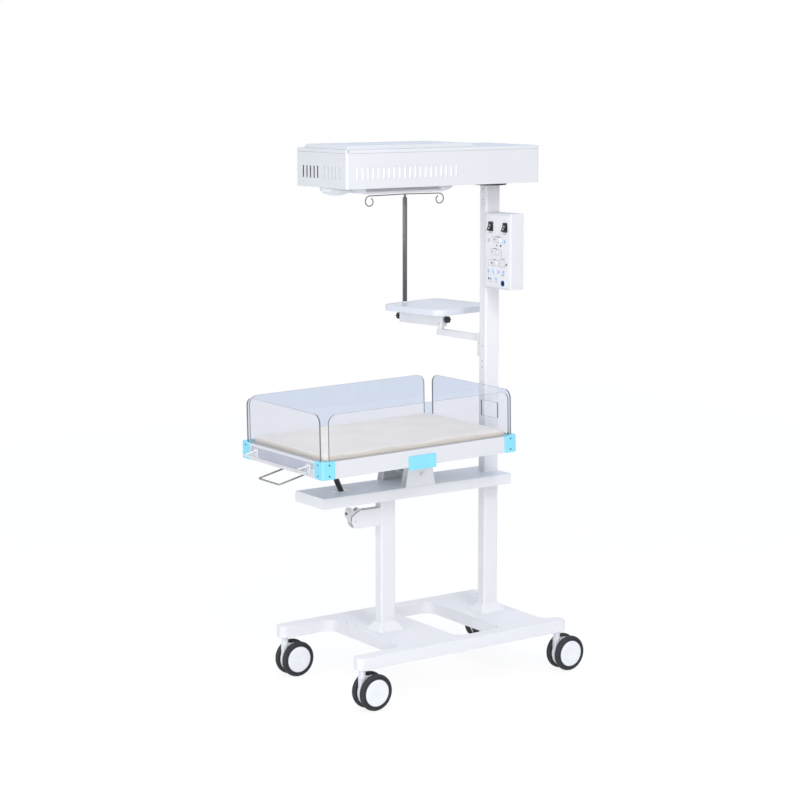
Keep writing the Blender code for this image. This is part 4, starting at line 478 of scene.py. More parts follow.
def softened(node, look, width, segments=2, top=None, slot="white_powder_coat"):
    """The CAD piece with rounded edges, as folded and painted sheet has them. Its top faces may take a second
    finish, which is a painted shade for the light from above.
    """
    bm = cad_copy(node)
    edges = [edge for edge in bm.edges if edge.is_convex and edge.calc_face_angle(0) > math.radians(40)]
    shape = {"offset": width, "segments": segments, "profile": 0.6}
    bmesh.ops.bevel(bm, geom=edges, affect="EDGES", clamp_overlap=True, **shape)
    bmesh.ops.triangulate(bm, faces=[face for face in bm.faces if len(face.verts) > 4])
    if top:
        bm.normal_update()
        for face in bm.faces:
            # Faces that look straight up take the top finish, which is painted shade.
            face.material_index = int(face.normal.z > 0.98)
    obj = part(node + "_finished", bm, [look, top] if top else look, node, None, 28, slot)
    modify(obj, "WEIGHTED_NORMAL", keep_sharp=True, weight=80)


def dress(node, look):
    """Gives a CAD node a finish of this scene."""
    obj = NODES[node]
    if not obj.material_slots:
        obj.data.materials.append(look)
    for material_slot in obj.material_slots:
        material_slot.material = look


# Casters

AXLE_HEIGHT = 0.0625
AXLE_HALF = 0.0116
TRAIL = 0.039


def wheels(corner):
    """Two tyred wheels with white discs, and the axle between them."""
    node = "caster_wheels_" + corner
    low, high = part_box(node)
    half = (high.x - low.x) / 2
    radius = (high.z - low.z) / 2
    inner, outer = half - 0.0225, half - 0.0015
    tyre = [
        (0.0460, outer - 0.0004), (0.0478, outer), (0.0500, outer - 0.0002),
        (0.0520, outer - 0.0022), (0.0535, outer - 0.0006), (0.0560, outer - 0.0008),
        (0.0600, outer - 0.0030), (0.0617, outer - 0.0058), (radius, outer - 0.0095),
        (radius, inner + 0.0085), (0.0612, inner + 0.0045), (0.0580, inner + 0.0015),
        (0.0540, inner), (0.0450, inner),
    ]
    disc = [
        (0, half - 0.0012), (0.0085, half - 0.0012), (0.0095, half - 0.0022),
        (0.0105, half - 0.0022), (0.0115, half - 0.0012), (0.0300, half - 0.0003),
        (0.0400, half), (0.0440, half - 0.0008), (0.0458, half - 0.0028),
        (0.0458, inner + 0.0020), (0.0400, inner + 0.0010), (0.0380, inner + 0.0060),
        (0.0170, inner + 0.0060), (0.0150, AXLE_HALF - 0.0002), (0, AXLE_HALF - 0.0002),
    ]
    axle = [(0, -AXLE_HALF), (0.0046, -AXLE_HALF), (0.0046, AXLE_HALF), (0, AXLE_HALF)]
    tyres, discs = [], []
    for facing in (180, 0):
        tyres.append(placed(lathe(tyre, 72), ACROSS, turned(facing, "Z")))
        discs.append(placed(lathe(disc, 72), ACROSS, turned(facing, "Z")))
    discs.append(placed(lathe(axle, 24), ACROSS))
    place = Matrix.Translation(middle(node))
    part("tyres_" + corner, joined(tyres), RUBBER, node, place, 30, "tyre_rubber")
    part("wheel_discs_" + corner, joined(discs), WHEEL_DISC, node, place, 30)


def fork(corner):
    """The white hood between the wheels, with its neck, bearing cover and stem."""
    node = "caster_fork_" + corner
    wheel = middle("caster_wheels_" + corner)
    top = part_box(node)[1].z
    half = 0.0108
    disc = [(0, -half), (0.0505, -half), (0.0528, -0.0085), (0.0528, 0.0085), (0.0505, half), (0, half)]
    hood = placed(lathe(disc, 72), ACROSS, moved(0, TRAIL, AXLE_HEIGHT))
    turning = [
        (0, 0.050), (0.0108, 0.050), (0.0112, 0.056), (0.0112, 0.112), (0.0120, 0.115), (0.0120, 0.1215),
        (0.0108, 0.1235), (0.0108, 0.1275), (0.0118, 0.1285), (0.0118, top), (0, top),
    ]
    back = -0.0095
    side = [(back, 0.050), (0.020, 0.012), (TRAIL, 0.0125), (TRAIL, 0.1130), (0.004, 0.1215), (back, 0.117)]
    web = placed(slab(side, -0.0098, 0.0098), UPRIGHT, turned(90, "Z"))
    shape = joined([hood, lathe(turning, 40), web])
    stem = moved(wheel.x, wheel.y - TRAIL, 0)
    part("fork_hood_" + corner, shape, MOULDED, node, stem, 30, "white_plastic")


def casters():
    for corner in ("front_left", "front_right", "rear_left", "rear_right"):
        wheels(corner)
        fork(corner)


# Stand

COLUMN_HOLES = (1.018, 1.071, 1.093, 1.146, 1.647, 1.659, 1.696)


def hinge_caps():
    low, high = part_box("hinge_rod")
    radius = (high.z - low.z) / 2
    cap = [
        (0, 0.0002), (0.0016, 0.0002), (0.0019, 0.0008), (radius * 0.9, 0.0006),
        (radius * 1.02, 0.0), (radius * 1.02, -0.0006), (0, -0.0006),
    ]
    caps = []
    for x, facing in ((low.x, -90), (high.x, 90)):
        end = moved(x, (low.y + high.y) / 2, (low.z + high.z) / 2)
        caps.append(placed(lathe(cap, 32), end @ turned(facing, "Y")))
    part("hinge_rod_caps", joined(caps), MOULDED, "hinge_rod")


def disc_skirt():
    """The lip that the black swivel disc has round its lower edge."""
    low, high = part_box("swivel_disc")
    inner, outer = 0.0372, (high.x - low.x) / 2
    lip = [(inner, 0.0004), (outer, 0.0004), (outer, -0.0035), (outer - 0.001, -0.0045), (inner, -0.0045)]
    part("swivel_disc_skirt", lathe(lip, 64), BLACK, "swivel_disc", moved(COLUMN.x, COLUMN.y, low.z))


def column_hole_shades():
    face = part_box("rear_column")[0].y
    # Dark discs a little way inside the column's holes: painted shade for the holes' depth.
    shade_disc = [(0, -0.0003), (0.0015, -0.0003), (0.0021, -0.0006), (0.0023, -0.0016), (0, -0.0016)]
    shade_discs = [placed(lathe(shade_disc, 20), moved(COLUMN.x, face, z) @ UPRIGHT) for z in COLUMN_HOLES]
    part("column_hole_shade_discs", joined(shade_discs), HOLE_PAINTED_SHADE, "rear_column")


def stand():
    softened("base_frame", POWDER, 0.0022, 3)
    softened("top_beam", POWDER, 0.0012, top=POWDER_BEAM_TOP_PAINTED_SHADE)
    softened("front_collar", POWDER, 0.0012)
    softened("rear_collar", POWDER, 0.0012)
    softened("strut_arm", POWDER, 0.0006)
    softened("control_box", POWDER_BOX_PAINTED_SHADE, 0.0012, top=POWDER_TOP_PAINTED_SHADE)
    softened("tray_arm", POWDER, 0.0008)
    for node in ("front_column", "rear_column"):
        dress(node, POWDER)
    for node in ("swivel_disc", "switch_bezel_left", "switch_bezel_right"):
        dress(node, BLACK)
    dress("hinge_rod", ZINC)
    dress("strut_clevis", CLEVIS)
    dress("panel_overlay", OVERLAY)
    hinge_caps()
    disc_skirt()
    column_hole_shades()


# Control panel, drawn from the lower left corner of the box

SEGMENTS = {"0": "abcdef", "3": "abgcd", "5": "afgcd", "6": "afgedc", "7": "abc"}
DISPLAYS = (
    (0.0752, 0.1695, 0.056, 0.017, "365"),
    (0.0587, 0.1270, 0.046, 0.018, "370"),
    (0.0577, 0.0890, 0.043, 0.018, "60"),
)
MARKS = (
    (0.0345, 0.1920, 0.016), (0.1145, 0.1920, 0.018), (0.0760, 0.1815, 0.024), (0.0600, 0.1392, 0.020),
    (0.0580, 0.1012, 0.020), (0.1040, 0.1050, 0.012), (0.1060, 0.0490, 0.018), (0.0390, 0.0225, 0.009),
    (0.0685, 0.0225, 0.008), (0.0255, 0.0470, 0.006),
)
DOTS = (
    (0.0700, 0.1500, 0.0027), (0.0925, 0.1500, 0.0037), (0.1242, 0.0867, 0.0037), (0.0258, 0.0330, 0.0037),
)
LILAC_KEYS = ((0.0277, 0.1670, 0.0052), (0.0389, 0.0335, 0.0056), (0.0824, 0.0590, 0.0062))
BLUE_KEYS = (
    (0.1162, 0.1665, 0.0062), (0.0255, 0.0590, 0.0062), (0.0685, 0.0335, 0.0058), (0.1106, 0.0590, 0.0062),
)
TEAL_KEYS = ((0.0540, 0.0590, 0.0062),)
BAR_X, BAR_Z = 0.1057, 0.1225
LED_X, LED_Z, LED_PITCH = 0.0235, 0.0780, 0.0100
THIN_BAR, BOLD_BAR = 0.0011, 0.0032

# Heights over the overlay: the back of every plate and the face of a printed one
SUNK, INK = -0.0003, 0.0002


def plate(x, z, width, height, low, high, radius=0.0008, edge=0.0):
    """A small rounded rectangle round a spot of the panel, between two heights over the overlay."""
    outline = rounded_outline((x - width / 2, z - height / 2), (x + width / 2, z + height / 2), radius, 3)
    return slab(outline, low, high, edge)


def button(x, z, profile, steps):
    return placed(lathe(profile, steps), moved(x, z, 0))


def panel_part(name, shapes, look, place):
    part(name, joined(shapes), look, "control_box", place)


def segment_bars(digit, width, height, bar):
    """Low and high corners of the lit bars of one digit."""
    half = height / 2
    bars = {
        "a": ((bar, height - bar), (width - bar, height)),
        "b": ((width - bar, half), (width, height - bar)),
        "c": ((width - bar, bar), (width, half)),
        "d": ((bar, 0), (width - bar, bar)),
        "e": ((0, bar), (bar, half)),
        "f": ((0, half), (bar, height - bar)),
        "g": ((bar, half - bar / 2), (width - bar, half + bar / 2)),
    }
    return [bars[letter] for letter in SEGMENTS[digit]]


def displays(place):
    """Three framed windows, each with its digits. The first digit is bold and the last may follow a point."""
    windows, frames, digits = [], [], []
    for x, z, width, height, text in DISPLAYS:
        frames.append(plate(x, z, width + 0.0016, height + 0.0016, -0.0004, 0.0001, 0.0016))
        windows.append(plate(x, z, width, height, SUNK, 0.0003, 0.0012, 0.0002))
        tall, wide = height * 0.74, height * 0.50
        pitch = wide + 0.0034
        start = x - width / 2 + 0.0030
        for index, digit in enumerate(text):
            left = start + index * pitch
            for low, high in segment_bars(digit, wide, tall, THIN_BAR if index else BOLD_BAR):
                centre_x = left + (low[0] + high[0]) / 2
                centre_z = z - tall / 2 + (low[1] + high[1]) / 2
                size = (high[0] - low[0] - 0.0003, high[1] - low[1] - 0.0003)
                digits.append(plate(centre_x, centre_z, *size, INK, 0.0005, 0.0002))
        if len(text) == 3:
            left = start + 2 * pitch - 0.0018
            digits.append(plate(left, z - tall / 2 + 0.0006, 0.0010, 0.0010, INK, 0.0005, 0.0003))
    panel_part("display_frames", frames, PRINT_GREY, place)
    panel_part("display_windows", windows, WINDOW, place)
    panel_part("display_digits", digits, DIGIT, place)
    bar = plate(BAR_X, BAR_Z, 0.0085, 0.025, SUNK, 0.0004, 0.0008, 0.0002)
    panel_part("level_bar", [bar], PRINT_WHITE, place)


def printed_marks(place):
    """Plain strokes where the panel is printed, two scales with their end lines, and the bar's sides."""
    marks = [plate(x, z, width, 0.0011, SUNK, INK, 0.0004) for x, z, width in MARKS]
    for step in range(5):
        for x, width in ((0.0895, 0.0045), (0.1130, 0.0060)):
            marks.append(plate(x, 0.0790 + step * 0.0060, width, 0.0008, SUNK, INK, 0.0003))
    for z in (0.0780, 0.1040):
        marks.append(plate(0.1015, z, 0.030, 0.0005, SUNK, INK, 0.0002))
    for x in (0.0985, 0.1112):
        marks.append(plate(x, BAR_Z, 0.0007, 0.026, SUNK, INK, 0.0002))
    panel_part("printed_marks", marks, PRINT_GREY, place)


def indicator_lamps(place):
    dots, leds = [], []
    for x, z, radius in DOTS:
        dots.append(button(x, z, [(0, 0.0007), (radius * 0.8, 0.0007), (radius, 0), (0, 0)], 20))
    panel_part("indicator_lamps", dots, PRINT_DARK, place)
    for row in range(3):
        leds.append(plate(LED_X, LED_Z + row * LED_PITCH, 0.0022, 0.0034, SUNK, 0.0003, 0.0004))
    for z in (0.0820, 0.0910, 0.1000):
        leds.append(button(0.0945, z, [(0, 0.0006), (0.0009, 0.0005), (0.0012, 0), (0, 0)], 14))
    panel_part("green_lamps", leds, LED_GREEN, place)


def keys(place):
    """Domed keys in three colours, each in a raised white ring and with a plain cross."""
    rings, signs = [], []
    colours = (("lilac", KEY_LILAC, LILAC_KEYS), ("blue", KEY_BLUE, BLUE_KEYS), ("teal", KEY_TEAL, TEAL_KEYS))
    for colour, look, spots in colours:
        domes = []
        for x, z, radius in spots:
            dome = [(0, 0.0016), (radius * 0.5, 0.00155), (radius * 0.85, 0.0013), (radius, 0.0008)]
            domes.append(button(x, z, [*dome, (radius, SUNK), (0, SUNK)], 32))
            inner, crest, outer = radius + 0.0002, radius + 0.0010, radius + 0.0018
            ring = [(inner, 0.0006), (crest, 0.0011), (outer, 0.0006), (outer, SUNK), (inner, SUNK)]
            rings.append(button(x, z, ring, 32))
            for width, height in ((radius * 0.9, 0.0008), (0.0008, radius * 0.9)):
                signs.append(plate(x, z, width, height, 0.0010, 0.0018, 0.0003))
        panel_part("keys_" + colour, domes, look, place)
    panel_part("key_rings", rings, PRINT_WHITE, place)
    panel_part("key_signs", signs, PRINT_WHITE, place)


def socket():
    """A round socket with five pins, in a pale ring."""
    low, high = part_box("sensor_socket")
    centre = middle("sensor_socket")
    place = moved(centre.x, high.y, centre.z) @ UPRIGHT
    radius = (high.x - low.x) / 2
    depth = high.y - low.y
    collar = [(0.80, 0), (1, 0), (1, 0.30), (0.94, 0.50), (0.84, 0.55), (0.80, 0.50)]
    shell = [(0, 0.25), (0.50, 0.25), (0.54, 0.62), (0.68, 0.70), (0.80, 0.62), (0.80, 0), (0, 0)]
    collar, shell = ([(radius * reach, depth * level) for reach, level in each] for each in (collar, shell))
    part("socket_ring", lathe(collar, 48), CYAN_RING, "sensor_socket", place)
    pins = [lathe(shell, 48)]
    for x, y in around(5):
        pin = lathe([(0, 0), (0.0006, 0), (0.0006, 0.0022), (0, 0.0026)], 10)
        pins.append(placed(pin, moved(radius * 0.2 * x, radius * 0.2 * y, depth * 0.2)))
    part("socket_shell", joined(pins), DEEP_BLUE, "sensor_socket", place, 35, "blue_socket")


def rocker(node):
    """A black rocker whose lower half stands out, with a stroke and a ring for ON and OFF."""
    low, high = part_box(node)
    half = (high.x - low.x) / 2
    low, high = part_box(node.replace("rocker_switch", "switch_bezel"))
    centre = Vector(((low.x + high.x) / 2, low.y, (low.z + high.z) / 2))
    top, tip = (0.0118, 0.0002), (-0.0130, 0.0105)
    back = [(-0.0129, 0.0094), (-0.0101, 0.0065), (-0.0105, 0.0), (-0.0090, -0.0065), (0.0090, -0.0065)]
    chamfer, draft = 0.0006, 60
    rings = []
    for x, inset in ((-half, chamfer), (-half + chamfer, 0.0), (half - chamfer, 0.0), (half, chamfer)):
        rings.append([(x, inset - out, z * (1 - inset * draft)) for z, out in (top, tip, *back)])
    part(node + "_cap", skin(rings), BLACK, node, Matrix.Translation(centre), 25, "black_plastic")
    slope = math.atan2(tip[1] - top[1], top[0] - tip[0])
    face = Matrix.Rotation(math.pi / 2 - slope, 4, "X")
    stroke = slab(rounded_outline((-0.0017, -0.0075), (0.0017, -0.0020), 0.0008, 3), -0.0004, 0.0004)
    ring = button(0, 0.0048, [(0.0012, -0.0004), (0.0012, 0.0004), (0.0025, 0.0004), (0.0025, -0.0004)], 24)
    place = Matrix.Translation(centre + Vector((0, -(tip[1] + top[1]) / 2, (tip[0] + top[0]) / 2))) @ face
    part(node + "_marks", joined([stroke, ring]), PRINT_WHITE, node, place)


def control_panel():
    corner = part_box("control_box")[0]
    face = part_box("panel_overlay")[0].y
    place = moved(corner.x, face, corner.z) @ UPRIGHT
    displays(place)
    printed_marks(place)
    indicator_lamps(place)
    keys(place)
    socket()
    for side in ("left", "right"):
        rocker("rocker_switch_" + side)


# Heater head


def lamp_glass(node):
    """A rippled, domed lens in a white bezel."""
    low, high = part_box(node)
    radius = (high.x - low.x) / 2
    dome = high.z - low.z - 0.0115
    bezel = [
        (radius * 0.80, 0), (radius * 0.97, 0), (radius, -0.004), (radius, -0.0115),
        (radius * 0.975, -0.0130), (radius * 0.93, -0.0125), (radius * 0.90, -0.0105),
    ]
    lens = [(0, -0.002), (radius * 0.90, -0.002)]
    steps = 12
    for step in range(steps + 1):
        turn = math.radians(4 + 86 * step / steps)
        ripple = 0.0004 if step % 2 and step < steps - 1 else 0.0
        reach = radius * 0.925 * math.cos(turn) if step < steps else 0
        lens.append((reach, -0.0115 - dome * math.sin(turn) + ripple))
    place = moved(middle(node).x, middle(node).y, high.z)
    part(node + "_lens", lathe(lens, 64), FROSTED, node, place, 60, "lamp_glass")
    part(node + "_bezel", lathe(bezel, 64), MOULDED, node, place)


def lid_screws():
    low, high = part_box("head_lid")
    screws = []
    for side, x in ((-1, low.x), (1, high.x)):
        beside = moved(x, low.y + 0.006, low.z + 0.0070) @ turned(side * 90, "Y")
        behind = moved(x - side * 0.020, high.y, low.z + 0.0060) @ turned(-90, "X")
        screws += [screw_head(0.0028, 0.0014, place) for place in (beside, behind)]
    part("lid_screws", joined(screws), ZINC, "head_lid")


def heat_reflector():
    """The trough is bright inside and painted outside, in a brighter white that is painted light on its
    shaded outer faces.
    """
    bm = cad_copy("reflector")
    bm.normal_update()
    low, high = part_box("reflector")
    centre = (low + high) / 2
    for face in bm.faces:
        spot = face.calc_center_median()
        if low.y + 0.004 < spot.y < high.y - 0.004:
            facing_in = face.normal.dot(Vector((centre.x - spot.x, 0, low.z - spot.z))) > 0
        else:
            facing_in = face.normal.y * (centre.y - spot.y) > 0
        # Outer faces take the brighter white, which is painted light.
        face.material_index = int(facing_in)
    part("reflector_trough", bm, [LINER_PAINTED_LIGHT, MIRROR], "reflector", None, 28, "reflector_sheet")


def slot_liners():
    """Sheets a few millimetres behind the vent slots, which keep the heat off the painted wall; their
    brighter white is painted light that makes the slots look bright.
    """
    low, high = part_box("head_housing")
    centre_x = (low.x + high.x) / 2
    bottom, top = low.z + 0.010, high.z - 0.006
    side_low, side_high = low.y + 0.018, low.y + 0.462
    sheets = [
        ((low.x + 0.0030, side_low), (low.x + 0.0040, side_high)),
        ((high.x - 0.0040, side_low), (high.x - 0.0030, side_high)),
        ((centre_x + 0.008, low.y + 0.0030), (high.x - 0.006, low.y + 0.0040)),
    ]
    shapes = [slab(rounded_outline(*sheet, 0.0003, 1), bottom, top) for sheet in sheets]
    backing = rounded_outline((low.x + 0.008, low.y + 0.0055), (centre_x - 0.006, low.y + 0.0065), 0.0003, 1)
    low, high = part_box("vent_cover")
    shapes.append(slab(inset_outline(low, high, 0.012, 0.003, 2), high.z - 0.0046, high.z - 0.0036))
    part("slot_liners", joined(shapes), LINER_PAINTED_LIGHT, "head_housing")
    part("slot_backing", slab(backing, bottom, top), BLACK, "head_housing")


def heater_head():
    softened("head_housing", POWDER_HEAD_PAINTED_SHADE, 0.0012)
    softened("head_lid", POWDER_HEAD_PAINTED_SHADE, 0.0015, top=POWDER_TOP_PAINTED_SHADE)
    softened("vent_cover", POWDER_HEAD_PAINTED_SHADE, 0.0010, top=POWDER_TOP_PAINTED_SHADE)
    softened("head_base_plate", POWDER_HEAD_PAINTED_SHADE, 0.0006)
    dress("heater_guard", ZINC)
    dress("heater_tube", QUARTZ)
    heat_reflector()
    slot_liners()
    lamp_glass("front_lamp")
    lamp_glass("rear_lamp")
    lid_screws()


# Bed

BLOCK_SCREW_INSET = 0.027
BLOCK_SCREW_RISE = 0.0115
LUG_X, LUG_Z = 0.1645, 0.1055


def corner_block(end, side):
    """A blue block with two screws in each of its outer faces."""
    node = f"corner_block_{end}_{side}"
    softened(node, BLUE, 0.0018, 3, slot="blue_plastic")
    low, high = own_box(node, BED)
    outward = 1 if side == "right" else -1
    along = 1 if end == "head" else -1
    face_x = high.x if outward > 0 else low.x
    face_y = high.y if along > 0 else low.y
    heads = []
    for z in (low.z + BLOCK_SCREW_RISE, high.z - BLOCK_SCREW_RISE):
        on_side = moved(face_x, face_y - along * BLOCK_SCREW_INSET, z) @ turned(outward * 90, "Y")
        on_end = moved(face_x - outward * BLOCK_SCREW_INSET, face_y, z) @ turned(-along * 90, "X")
        heads += [screw_head(0.0032, 0.0010, place) for place in (on_side, on_end)]
    part(f"block_screws_{end}_{side}", joined(heads), BLOCK_SCREW, node, BED)


def clear_panel(name):
    """A sheet of clear acrylic whose sawn rim is painted dark, as painted shade in place of the dark a clear
    edge shows.
    """
    node = "bed_panel_" + name
    bm = cad_copy(node)
    bm.normal_update()
    across = BED.to_3x3() @ Vector((1, 0, 0) if name in ("left", "right") else (0, 1, 0))
    for face in bm.faces:
        # Faces across the sheet's edge take the dark rim finish, which is painted shade.
        face.material_index = int(abs(face.normal.dot(across)) <= 0.9)
    part(node + "_sheet", bm, [ACRYLIC, RIM_PAINTED_SHADE], node, None, 28, "clear_acrylic")


def swollen(pad):
    """Blows the pad up a little with the pressure of its filling."""
    cloth = modify(pad, "CLOTH")
    settings = cloth.settings
    settings.use_pressure = True
    settings.uniform_pressure_force = 4.0
    settings.quality = 5
    settings.tension_stiffness = 25
    settings.compression_stiffness = 25
    settings.bending_stiffness = 2.0
    settings.effector_weights.gravity = 0
    cloth.point_cache.frame_start = 1
    cloth.point_cache.frame_end = 20
    for step in range(1, 21):
        bpy.context.scene.frame_set(step)
    settle(pad)
    bpy.context.scene.frame_set(1)


def crowned(pad, before, low, high):
    """Holds the swelling to what its box allows, lowers the top's rim and makes the top slightly uneven."""
    most = 0.005
    centre = (low + high) / 2
    half = (high - low) / 2
    for vert, start in zip(pad.data.vertices, before):
        move = vert.co - start
        if move.length > most:
            move *= most / move.length
        spot = start + move
        spot.z = max(low.z + 0.0002, spot.z)
        rim = max(abs(spot.x - centre.x) / half.x, abs(spot.y - centre.y) / half.y)
        if spot.z > centre.z:
            share = (spot.z - centre.z) / half.z
            spot.z -= 0.0035 * share * rim**6
            spot.z += 0.0012 * share * math.sin(spot.x * 31 + 1.0) * math.sin(spot.y * 23 + 0.4)
        spot.z = min(high.z + 0.004, spot.z)
        spot.x = min(high.x, max(low.x, spot.x))
        spot.y = min(high.y, max(low.y, spot.y))
        vert.co = spot


def mattress():
    """A covered foam pad, swollen a little by its filling, with a seam round the middle of its sides."""
    low, high = own_box("mattress", BED)
    block = slab(inset_outline(low, high, 0.003, 0.020, 5), low.z + 0.0005, high.z - 0.0035)
    pad = linked("mattress_pad", meshed("mattress_pad", block))
    modify(pad, "BEVEL", width=0.010, segments=3, angle_limit=math.radians(50))
    modify(pad, "REMESH", mode="VOXEL", voxel_size=0.006)
    settle(pad)
    before = [vert.co.copy() for vert in pad.data.vertices]
    swollen(pad)
    crowned(pad, before, low, high)
    modify(pad, "SMOOTH", iterations=4)
    modify(pad, "SUBSURF", levels=1, render_levels=1)
    settle(pad)
    pad.data.materials.clear()
    for look in (CREAM, CREAM_SIDE_PAINTED_SHADE):
        pad.data.materials.append(look)
    for face in pad.data.polygons:
        # Faces that don't look up take the side finish, which is painted shade.
        face.material_index = int(face.normal.z < 0.72)
    pad.data.transform(BED)
    pad.data.shade_smooth()
    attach(pad, "bed")
    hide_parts("mattress")
    seam_z = low.z + 0.6 * (high.z - low.z)
    seam = [(x, y, seam_z) for x, y in inset_outline(low, high, 0.0020, 0.020, 8)]
    part("mattress_seam", sweep(seam, 0.0011, 8, closed=True), SEAM, "mattress", BED)


def foot_wall_shade_plate():
    """A grey plate of painted shade on the foot wall, between the rail's lugs and under the wall's white rim.
    """
    low, high = own_box("bed_tray", BED)
    half, top, bottom = 0.196, high.z - 0.0090, low.z + 0.0110
    outline = [
        (-half, top), (-half, high.z - 0.0300), (-0.150, high.z - 0.0350), (-0.140, bottom),
        (0.126, bottom), (0.150, high.z - 0.0350), (half, high.z - 0.0250), (half, top),
    ]
    shape = slab(outline, -0.0004, 0.0006, 0.0003)
    part("foot_wall_shade_plate", shape, INSERT_PAINTED_SHADE, "bed_tray", BED @ moved(0, low.y, 0) @ UPRIGHT)


def bed_rail():
    """The bright rail across the foot end, on two V-shaped legs."""
    bar_y, bar_z, half = -0.5355, 0.0905, 0.196
    lug_y = (BED.inverted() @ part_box("rail_boss_left")[0]).y - 0.0003
    button_head = [(0, 0.0046), (0.0030, 0.0044), (0.0052, 0.0030), (0.0060, 0.0018), (0.0060, 0), (0, 0)]
    bars = [sweep([(-half, bar_y, bar_z), (half, bar_y, bar_z)], 0.0035, 24)]
    heads = []
    for side in (-1, 1):
        top = Vector((side * LUG_X, lug_y - 0.0035, LUG_Z))
        for foot_x in (half - 0.003, 0.132):
            bars.append(sweep([top, (side * foot_x, bar_y, bar_z)], 0.0025))
        heads.append(placed(lathe(button_head, 28), UPRIGHT, moved(side * LUG_X, lug_y, LUG_Z)))
    part("foot_rail_bars", joined(bars + heads), CHROME, "foot_rail", BED, 40, "chrome")


def release_handle():
    """The wire handle that is lifted to release the tilt."""
    end_x, leg_x = 0.079, 0.065
    lug, front = (-0.350, 0.0786), (-0.5600, 0.0343)
    route = ((-end_x, lug), (-leg_x, lug), (-leg_x, front), (leg_x, front), (leg_x, lug), (end_x, lug))
    wire = sweep(eased([(x, *spot) for x, spot in route], 0.008), 0.0029)
    part("handle_wire", wire, WIRE_PAINTED_DARK, "release_handle", BED, 40, "chrome")


def bed():
    softened("bed_tray", POWDER_BED_PAINTED_SHADE, 0.0012)
    softened("bed_hinge_frame", POWDER, 0.0006)
    for side in ("left", "right"):
        softened("side_plate_" + side, BLUE, 0.0007, slot="blue_plastic")
        softened("rail_boss_" + side, POWDER, 0.0005)
        for end in ("foot", "head"):
            corner_block(end, side)
    for name in ("left", "right", "foot", "head"):
        clear_panel(name)
    dress("bed_foot_mount", ZINC)
    dress("strut_cylinder", BLACK_STEEL)
    dress("strut_rod", CHROME)
    mattress()
    foot_wall_shade_plate()
    bed_rail()
    release_handle()


# Tray group

POLE_X = -0.1865
POLE_RADIUS = 0.0085
HOLDER_LOW, HOLDER_HIGH = 1.1905, 1.2407


def star_knob(node, place):
    """A lobed clamping knob with a domed face and its screw's end in the middle."""
    steps, lobes, outer = 96, 6, 0.0130
    profile = (
        (0.62, 0.006), (0.90, 0.006), (1.0, 0.0075), (1.0, 0.0165),
        (0.90, 0.0193), (0.60, 0.0200), (0.30, 0.0200), (0.26, 0.0188),
    )
    rings = []
    for reach, height in profile:
        ring = []
        for step in range(steps):
            turn = 2 * math.pi * step / steps
            wave = 0.90 + 0.10 * math.cos(lobes * turn) if reach > 0.65 else 0.90
            radius = outer * reach * wave
            ring.append((height, radius * math.cos(turn), radius * math.sin(turn)))
        rings.append(ring)
    part(node + "_lobes", skin(rings), BLACK, node, place, 40, "black_plastic")
    stem = lathe([(0, 0.0005), (0.0038, 0.0005), (0.0038, 0.0070), (0, 0.0070)], 20)
    part(node + "_screw", placed(stem, ACROSS), ZINC, node, place)


def tray_plate():
    """The tray's plate with rounded edges and a shallow dish, bored for the pole."""
    low, high = own_box("instrument_tray", SWING)
    edge = (
        (0.0015, low.z), (0.0000, low.z + 0.0015), (0.0000, high.z - 0.0026), (0.0008, high.z - 0.0008),
        (0.0026, high.z), (0.0070, high.z), (0.0085, high.z - 0.0013), (0.0105, high.z - 0.0015),
    )
    rings = []
    for inset, level in edge:
        rings.append([(x, y, level) for x, y in inset_outline(low, high, inset, 0.040 - inset, 8)])
    tray = part("tray_plate", skin(rings), POWDER_TRAY_PAINTED_SHADE, "instrument_tray", SWING, 40, "white_powder_coat")
    bottom, top, radius = low.z - 0.01, high.z + 0.01, POLE_RADIUS + 0.0005
    bore = lathe([(0, bottom), (radius, bottom), (radius, top), (0, top)], 32)
    cutter = linked("pole_bore", meshed("pole_bore", placed(bore, SWING @ moved(POLE_X, 0, 0))))
    modify(tray, "BOOLEAN", operation="DIFFERENCE", object=cutter)
    settle(tray)
    bpy.data.objects.remove(cutter)


def infusion_pole():
    """The pole with its cap and the two-ended hook of bent wire."""
    at = SWING @ Vector((POLE_X, 0, 0))
    bottom, top, hook_z = 1.1942, 1.647, 1.656
    pole = [
        (0, bottom), (0.0075, bottom), (POLE_RADIUS, bottom + 0.0013), (POLE_RADIUS, top - 0.004),
        (0.0078, top - 0.0015), (0.0060, top), (0.0044, top + 0.0005), (0.0044, hook_z + 0.0032),
        (0.0034, hook_z + 0.0040), (0, hook_z + 0.0040),
    ]
    loop, span, straight_steps, loop_steps = 0.0195, 0.348, 16, 40
    half = span / 2 - loop
    side = []
    for step in range(straight_steps + 1):
        share = step / straight_steps
        side.append((0, half * share, hook_z + 0.002 * (1 - share)))
    for step in range(1, loop_steps + 1):
        share = step / loop_steps
        turn = math.pi / 2 - share * math.radians(330)
        radius = loop * (1 - 0.4 * share**2)
        side.append((0, half + radius * math.cos(turn), hook_z - loop + radius * math.sin(turn)))
    path = [(x, -y, z) for x, y, z in reversed(side)][:-1] + side
    shape = joined([lathe(pole, 40), sweep(path, 0.0020, 14)])
    part("pole_and_hook", shape, CHROME_POLE_PAINTED_DARK, "infusion_pole", moved(at.x, at.y, 0), 40, "chrome")


